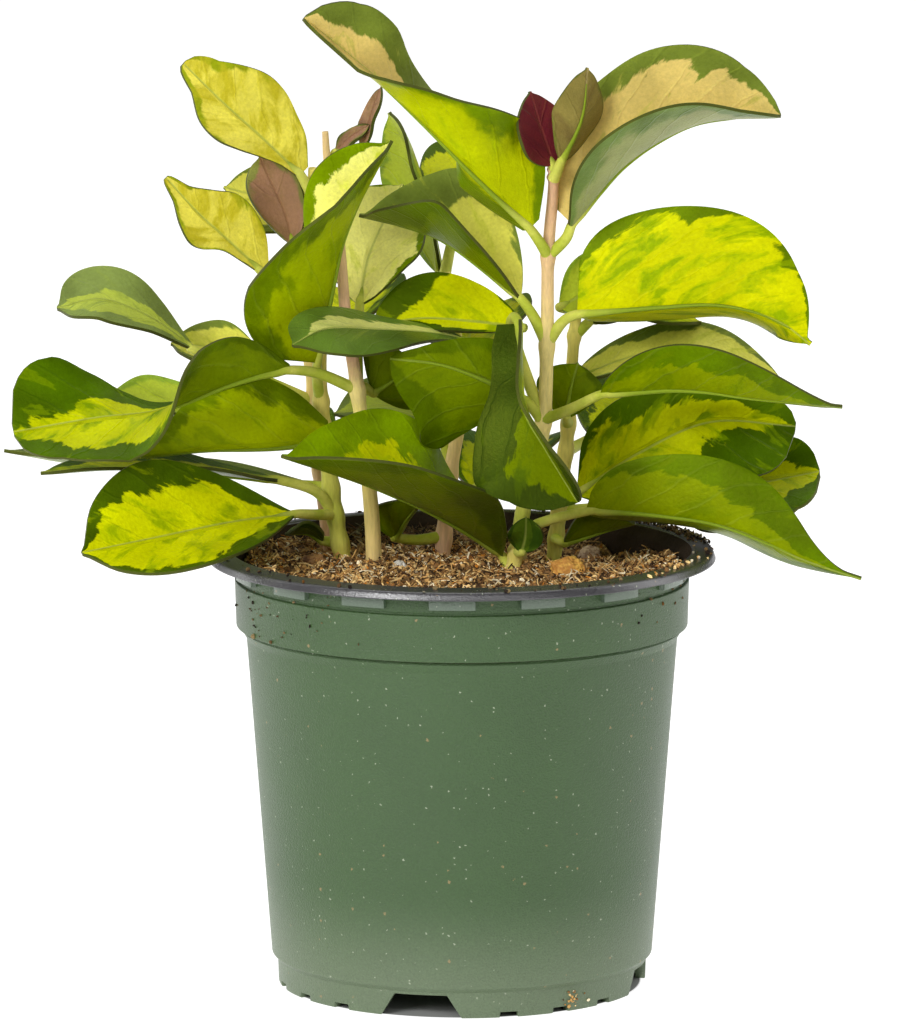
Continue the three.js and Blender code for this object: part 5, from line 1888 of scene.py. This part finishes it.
        Leaf("rear_grey", Look.GREY, stalk=[(-3, 20, 112), (-4, 22, 120)],
             midrib=[(-6, 24, 124), (-17, 26, 127), (-29, 26, 125)], half=12, face=[(0, -0.2, 0.95)],
             fold=10, green=0.6, under=Look.MOSS),
        Leaf("low_middle", Look.DARK, stalk=[(-4, 20, 98), (-10, 18, 97.5)],
             midrib=[(-15, 15, 98.5), (-13, 12, 103), (-9.4, 9, 108)], half=8, face=[(-0.5, 0.6, 0.6)],
             fold=30, green=0.3, under=Look.MOSS),
        Leaf("middle_back", Look.YELLOW, stalk=[(0, 20, 132)],
             midrib=[(0, 27, 135), (2, 40, 142), (3, 54, 145), (3, 66, 142)], half=14,
             face=[(0, 0.1, 1)], fold=12),
        Leaf("middle_back_low", Look.DEEP, stalk=[(-2, 21, 106)],
             midrib=[(3, 26, 108), (8, 38, 112), (12, 52, 114), (14, 64, 111)], half=15,
             face=[(0, 0.1, 1)], fold=12, green=0.4),
        Leaf("high_back", Look.FRESH, stalk=[(-4, 22, 157)],
             midrib=[(-2, 26, 166), (2, 34, 175), (6, 46, 180), (9, 56, 178)], half=14,
             face=[(0, -0.2, 1)], fold=12, green=0.25),
    ],
    "rear_right_stem": [
        Leaf("right_dark", Look.DEEP, stalk=[(22, 18, 106)],
             midrib=[(26.5, 17, 108.6), (40, 14, 118), (56, 11, 125.5), (75, 8, 125)],
             widths=[(1, 1.5), (9, 9.5), (12.5, 15), (12.8, 18.5), (11.5, 20), (10, 19), (7.5, 14),
               (1.5, 3)], face=[(0.1, -0.9, 0.45)], fold=10,
             green=[(0.15, 0.15), (0.3, 0.25), (0.35, 0.5), (0.5, 0.8), (0.9, 1.0)], under=Look.MOSS),
        Leaf("right_back_cream", Look.SAGE, stalk=[(24, 17, 130)],
             midrib=[(25.5, 17, 134.5), (40, 15, 140), (57, 14, 141.3), (73, 13, 133.8)],
             half=(8.6, 7.5), face=[(0, -0.45, 0.9)], fold=8, peak=0.45, green=0.22),
        Leaf("right_low", Look.DEEP, stalk=[(22, 18, 104), (35, 19, 105)],
             midrib=[(48, 20, 106), (64, 17, 109.8), (80.7, 14, 113.7)],
             widths=[(1, 1), (10, 10), (14, 14), (15.5, 15.5), (15.5, 15.5), (13.5, 14.5), (9.5, 11),
               (2, 3)], face=[(0, -0.7, 0.7)], fold=12,
             green=[(0.3, 0.3), (0.5, 0.35), (0.6, 0.4), (0.8, 0.7)], under=Look.MOSS),
        Leaf("behind_stem_dark", Look.DARK, stalk=[(24, 17, 124)],
             midrib=[(23.5, 12.5, 126.5), (24.3, 9.3, 133), (26, 8.2, 139.5)], half=8,
             face=[(0, 0.9, 0.3)], fold=15, green=0.3, under=Look.MOSS),
        Leaf("right_pale", Look.FRESH, stalk=[(25.2, 18.3, 144)],
             midrib=[(29, 18.5, 147.5), (40, 19, 148.8), (54, 19, 147)], half=6.5,
             face=[(0, -0.2, 0.95)], fold=8, green=0.3),
        Leaf("right_lime", Look.LIME, stalk=[(26, 19, 150)],
             midrib=[(22, 15.5, 151), (32, 14, 156), (46, 13, 157)], half=9, face=[(0, -0.8, 0.5)],
             fold=12, green=0.1, under=Look.LIME),
        Leaf("right_soil", Look.DARK, stalk=[(21, 19, 98), (21.5, 16, 98)],
             midrib=[(23, 13, 97.6), (31, 11, 100.5), (39, 8.5, 103)], half=7.5, face=[(0, 0.4, 0.9)],
             green=0.3, under=Look.MOSS),
        Leaf("rear_right_back", Look.FRESH, stalk=[(24, 18, 118)],
             midrib=[(30, 26, 120), (38, 38, 124), (46, 50, 125), (54, 60, 122)], half=16,
             face=[(0, 0.1, 1)], fold=12, green=0.3),
        Leaf("rear_right_high", Look.YELLOW, stalk=[(26, 19, 151)],
             midrib=[(30, 25, 150), (38, 36, 154), (45, 50, 156), (52, 60, 153)], half=15,
             face=[(0, 0.1, 1)], fold=12),
    ],
    "front_shoot": [
        Leaf("front_left", Look.MEADOW, stalk=[(11.4, 5.8, 91.5)],
             midrib=[(9, 7, 95.8), (1.8, 0, 102), (-7.2, -8, 108.4), (-18.4, -14, 114.4),
               (-28.5, -18, 118.7), (-40, -21, 123)], half=19.5, face=[(-0.08, -0.36, 0.93)], fold=42,
             peak=0.57,
             green=[(0.7, 0.8), (0.5, 0.75), (0.3, 0.5), (0.2, 0.45), (0.5, 0.7), (0.9, 0.9)],
             under=Look.MOSS),
        Leaf("right_low_front", Look.JADE, stalk=[(12.2, 6, 97), (16, 4, 103)],
             midrib=[(28, 2, 106.8), (42, -2, 106.8), (60, -8, 104.7), (76, -13, 98.5),
               (88.9, -16, 94.6)], half=(9.8, 14.8), face=[(0, 0.85, 0.5)], fold=35, peak=(0.45, 0.38),
             taper=(1.6, 1.9),
             green=[(0.1, 0.1), (0.3, 0.3), (0.35, 0.5), (0.6, 0.7), (1.0, 1.0)], under=Look.JADE),
        Leaf("front_small", Look.DARK, stalk=[(12, 5.8, 97)],
             midrib=[(13.4, 3, 97.2), (14.2, 2, 101), (14.4, 2, 105.5)], half=4.2,
             face=[(0, -0.9, 0.3)], fold=10, green=0.3, under=Look.MOSS),
    ],
}

PINK, TAN_WOOD, STRAW = (0.66, 0.38, 0.25), (0.72, 0.51, 0.24), (0.74, 0.63, 0.16)
LEAF_GREEN, BUTTER = (0.50, 0.53, 0.08), (0.84, 0.68, 0.26)
STEMS = [
    LeafyStem("right_stem", [(12.6, 11, 86), (13.5, 10, 104), (18, 6, 124), (19, 2, 144.7), (19.2, -1, 165),
                             (20.2, -4, 179), (20.4, -6, 186)], (1.9, 1.1),
              StemFinish(((86, PINK), (104, LEAF_GREEN), (126, BUTTER), (145, BUTTER), (156, TAN_WOOD),
                          (186, PINK)))),
    LeafyStem("topped_stem", [(-19.5, 6, 86), (-20.5, 5, 108), (-23.5, 5, 134), (-26, 6, 150),
                              (-27.5, 8, 168), (-30, 9, 184), (-30.6, 9, 191.7)], (1.9, 0.7),
              StemFinish(((86, TAN_WOOD), (122, STRAW), (134, BUTTER), (142, PINK), (175, TAN_WOOD)), 0.6)),
    LeafyStem("left_stem", [(-25.5, 15, 86), (-28.5, 14, 103), (-31, 13, 122), (-32, 12, 136),
                            (-31.5, 10, 150)], (1.9, 1.5),
              StemFinish(((86, STRAW), (104, LEAF_GREEN), (130, STRAW)))),
    LeafyStem("rear_left_stem", [(-29, 26, 86), (-33, 25, 120), (-34.5, 24, 150), (-34, 22, 170),
                                 (-33.5, 20, 182)], (1.6, 1.1),
              StemFinish(((86, PINK), (120, TAN_WOOD), (160, STRAW)))),
    LeafyStem("middle_stem", [(-5, 20, 86), (-3, 20, 110), (0, 19, 130), (-2, 20, 148), (-4, 22, 158)],
              (1.7, 1.2), StemFinish(((86, PINK), (110, TAN_WOOD), (140, STRAW)))),
    LeafyStem("rear_right_stem", [(20, 20, 86), (22, 18, 104), (24, 17, 124), (25, 18, 140), (26, 19, 152)],
              (1.7, 1.2), StemFinish(((86, LEAF_GREEN), (110, STRAW), (140, STRAW)))),
    LeafyStem("front_shoot", [(11, 5.2, 86), (11.8, 5.8, 95), (13, 6, 100)], (1.7, 1.5),
              StemFinish(((86, STRAW), (100, STRAW)))),
]
LUMPS = [
    SoilLump("bark_orange", (24, -5), (4.3, 3.2, 3.1), 12, 3,
             LumpFinish((0.9, 0.52, 0.1), (0.55, 0.25, 0.05)), "bark"),
    SoilLump("bark_amber", (1, 11), (2.1, 1.6, 1.5), 40, 11,
             LumpFinish((0.6, 0.22, 0.04), (0.3, 0.09, 0.02)), "bark"),
    SoilLump("bark_brown", (-33.4, 7), (3.2, 2.4, 2), -10, 7,
             LumpFinish((0.42, 0.22, 0.08), (0.16, 0.07, 0.03)), "bark"),
    SoilLump("perlite", (-14, 2.5), (1.7, 1.5, 1.4), 20, 17,
             LumpFinish((0.8, 0.77, 0.7), (0.5, 0.46, 0.4)), "grit"),
    SoilLump("pebble", (29, 32), (2.6, 2.4, 2.3), 0, 23,
             LumpFinish((0.5, 0.36, 0.25), (0.26, 0.16, 0.11), 0.8, 0.2), "grit"),
]


# ---------------------------------------------------------------- the studio

@dataclass(frozen=True)
class SoftBox:
    """A soft light: its place and its width and height in metres, and its power in watts."""

    name: str
    at: Point
    size: tuple[float, float]
    power: float


@dataclass
class Studio:
    """The white floor, the soft lights and the camera."""

    eye: Point = (-0.785, -1950.0, 433.1)
    tilt: float = 9.496
    lens: float = 310.0
    floor_size: float = 16.0
    floor_grey: float = 0.4
    floor_rough: float = 0.8
    glow: float = 0.92
    # Radius in mm of the painted shadow under the pot, and the width of its soft edge.
    shaded: float = 40.0
    shade_edge: float = 0.6
    backdrop: float = 0.12
    aim: Point = (0, 0, 0.12)
    boxes: tuple[SoftBox, ...] = (
        SoftBox("key_box", (-1.15, -1.5, 1.0), (0.8, 0.8), 27),
        SoftBox("fill_box", (1.0, -1.6, 0.6), (0.4, 0.6), 3.5),
        SoftBox("lip_box", (-0.1, -1.9, 1.25), (1.7, 0.2), 8),
        SoftBox("right_box", (1.4, 0.25, 0.7), (0.8, 1.4), 9),
        SoftBox("left_box", (-1.3, 0.6, 0.7), (0.8, 1.4), 8),
        SoftBox("top_box", (0.0, 0.35, 1.7), (1.6, 1.2), 11))

    def floor(self) -> None:
        """A wide white floor that gives off light, but for a disc under the pot, which is left dark as a
        painted shadow.
        """
        deselect_all()
        bpy.ops.mesh.primitive_plane_add(size=self.floor_size, location=(0, 0, 0))
        floor = added("studio_floor")
        material, bench, shader = new_material("studio_floor")
        shader.inputs["Base Color"].default_value = (*(self.floor_grey,) * 3, 1)
        shader.inputs["Roughness"].default_value = self.floor_rough
        shader.inputs["Emission Color"].default_value = (1, 1, 1, 1)
        out = bench.node("ShaderNodeVectorMath", {"operation": "LENGTH"},
                         Vector=bench.node("ShaderNodeTexCoord").outputs["Object"]).outputs["Value"]
        # Painted shadow: the floor does not glow inside the disc under the pot.
        clear = bench.step(out, self.shaded * MM, (self.shaded + self.shade_edge) * MM)
        bench.feed(shader.inputs["Emission Strength"], bench.math("MULTIPLY", clear, self.glow))
        floor.data.materials.append(material)

    def light(self, box: SoftBox) -> None:
        """A soft box that faces the plant.

        Args:
            box: the light to set up.
        """
        lamp = bpy.data.lights.new(box.name, "AREA")
        lamp.shape, lamp.energy = "RECTANGLE", box.power
        lamp.size, lamp.size_y = box.size
        holder = bpy.data.objects.new(box.name, lamp)
        holder.location = box.at
        holder.visible_camera = False
        holder.rotation_euler = (Vector(self.aim) - Vector(box.at)).to_track_quat("-Z", "Y").to_euler()
        bpy.context.scene.collection.objects.link(holder)

    def camera(self) -> None:
        """The camera where the photograph was taken from."""
        lens = bpy.data.cameras.new("camera")
        lens.lens, lens.sensor_fit, lens.sensor_height = self.lens, "VERTICAL", 36.0
        lens.clip_end = 40.0
        holder = bpy.data.objects.new("camera", lens)
        holder.location = Vector(self.eye) * MM
        holder.rotation_euler = (math.radians(90 - self.tilt), 0, 0)
        bpy.context.scene.collection.objects.link(holder)
        bpy.context.scene.camera = holder

    def build(self) -> None:
        """Sets up the whole studio."""
        self.floor()
        self.camera()
        for box in self.boxes:
            self.light(box)
        world = bpy.data.worlds.new("studio")
        world.use_nodes = True
        world.node_tree.nodes["Background"].inputs[0].default_value = (1, 1, 1, 1)
        world.node_tree.nodes["Background"].inputs[1].default_value = self.backdrop
        bpy.context.scene.world = world
        bpy.context.scene.view_settings.view_transform = "Standard"


def main() -> None:
    """Builds every piece and the studio."""
    logging.basicConfig(level=logging.INFO, format="%(name)s: %(message)s")
    Studio().build()
    Pot().build()
    Soil().build()
    for lump in LUMPS:
        lump.build()
    dyes = Dyes()
    for stem in STEMS:
        stem.leaves = LEAVES[stem.name]
        stem.build(dyes)


if __name__ == "__main__":
    main()
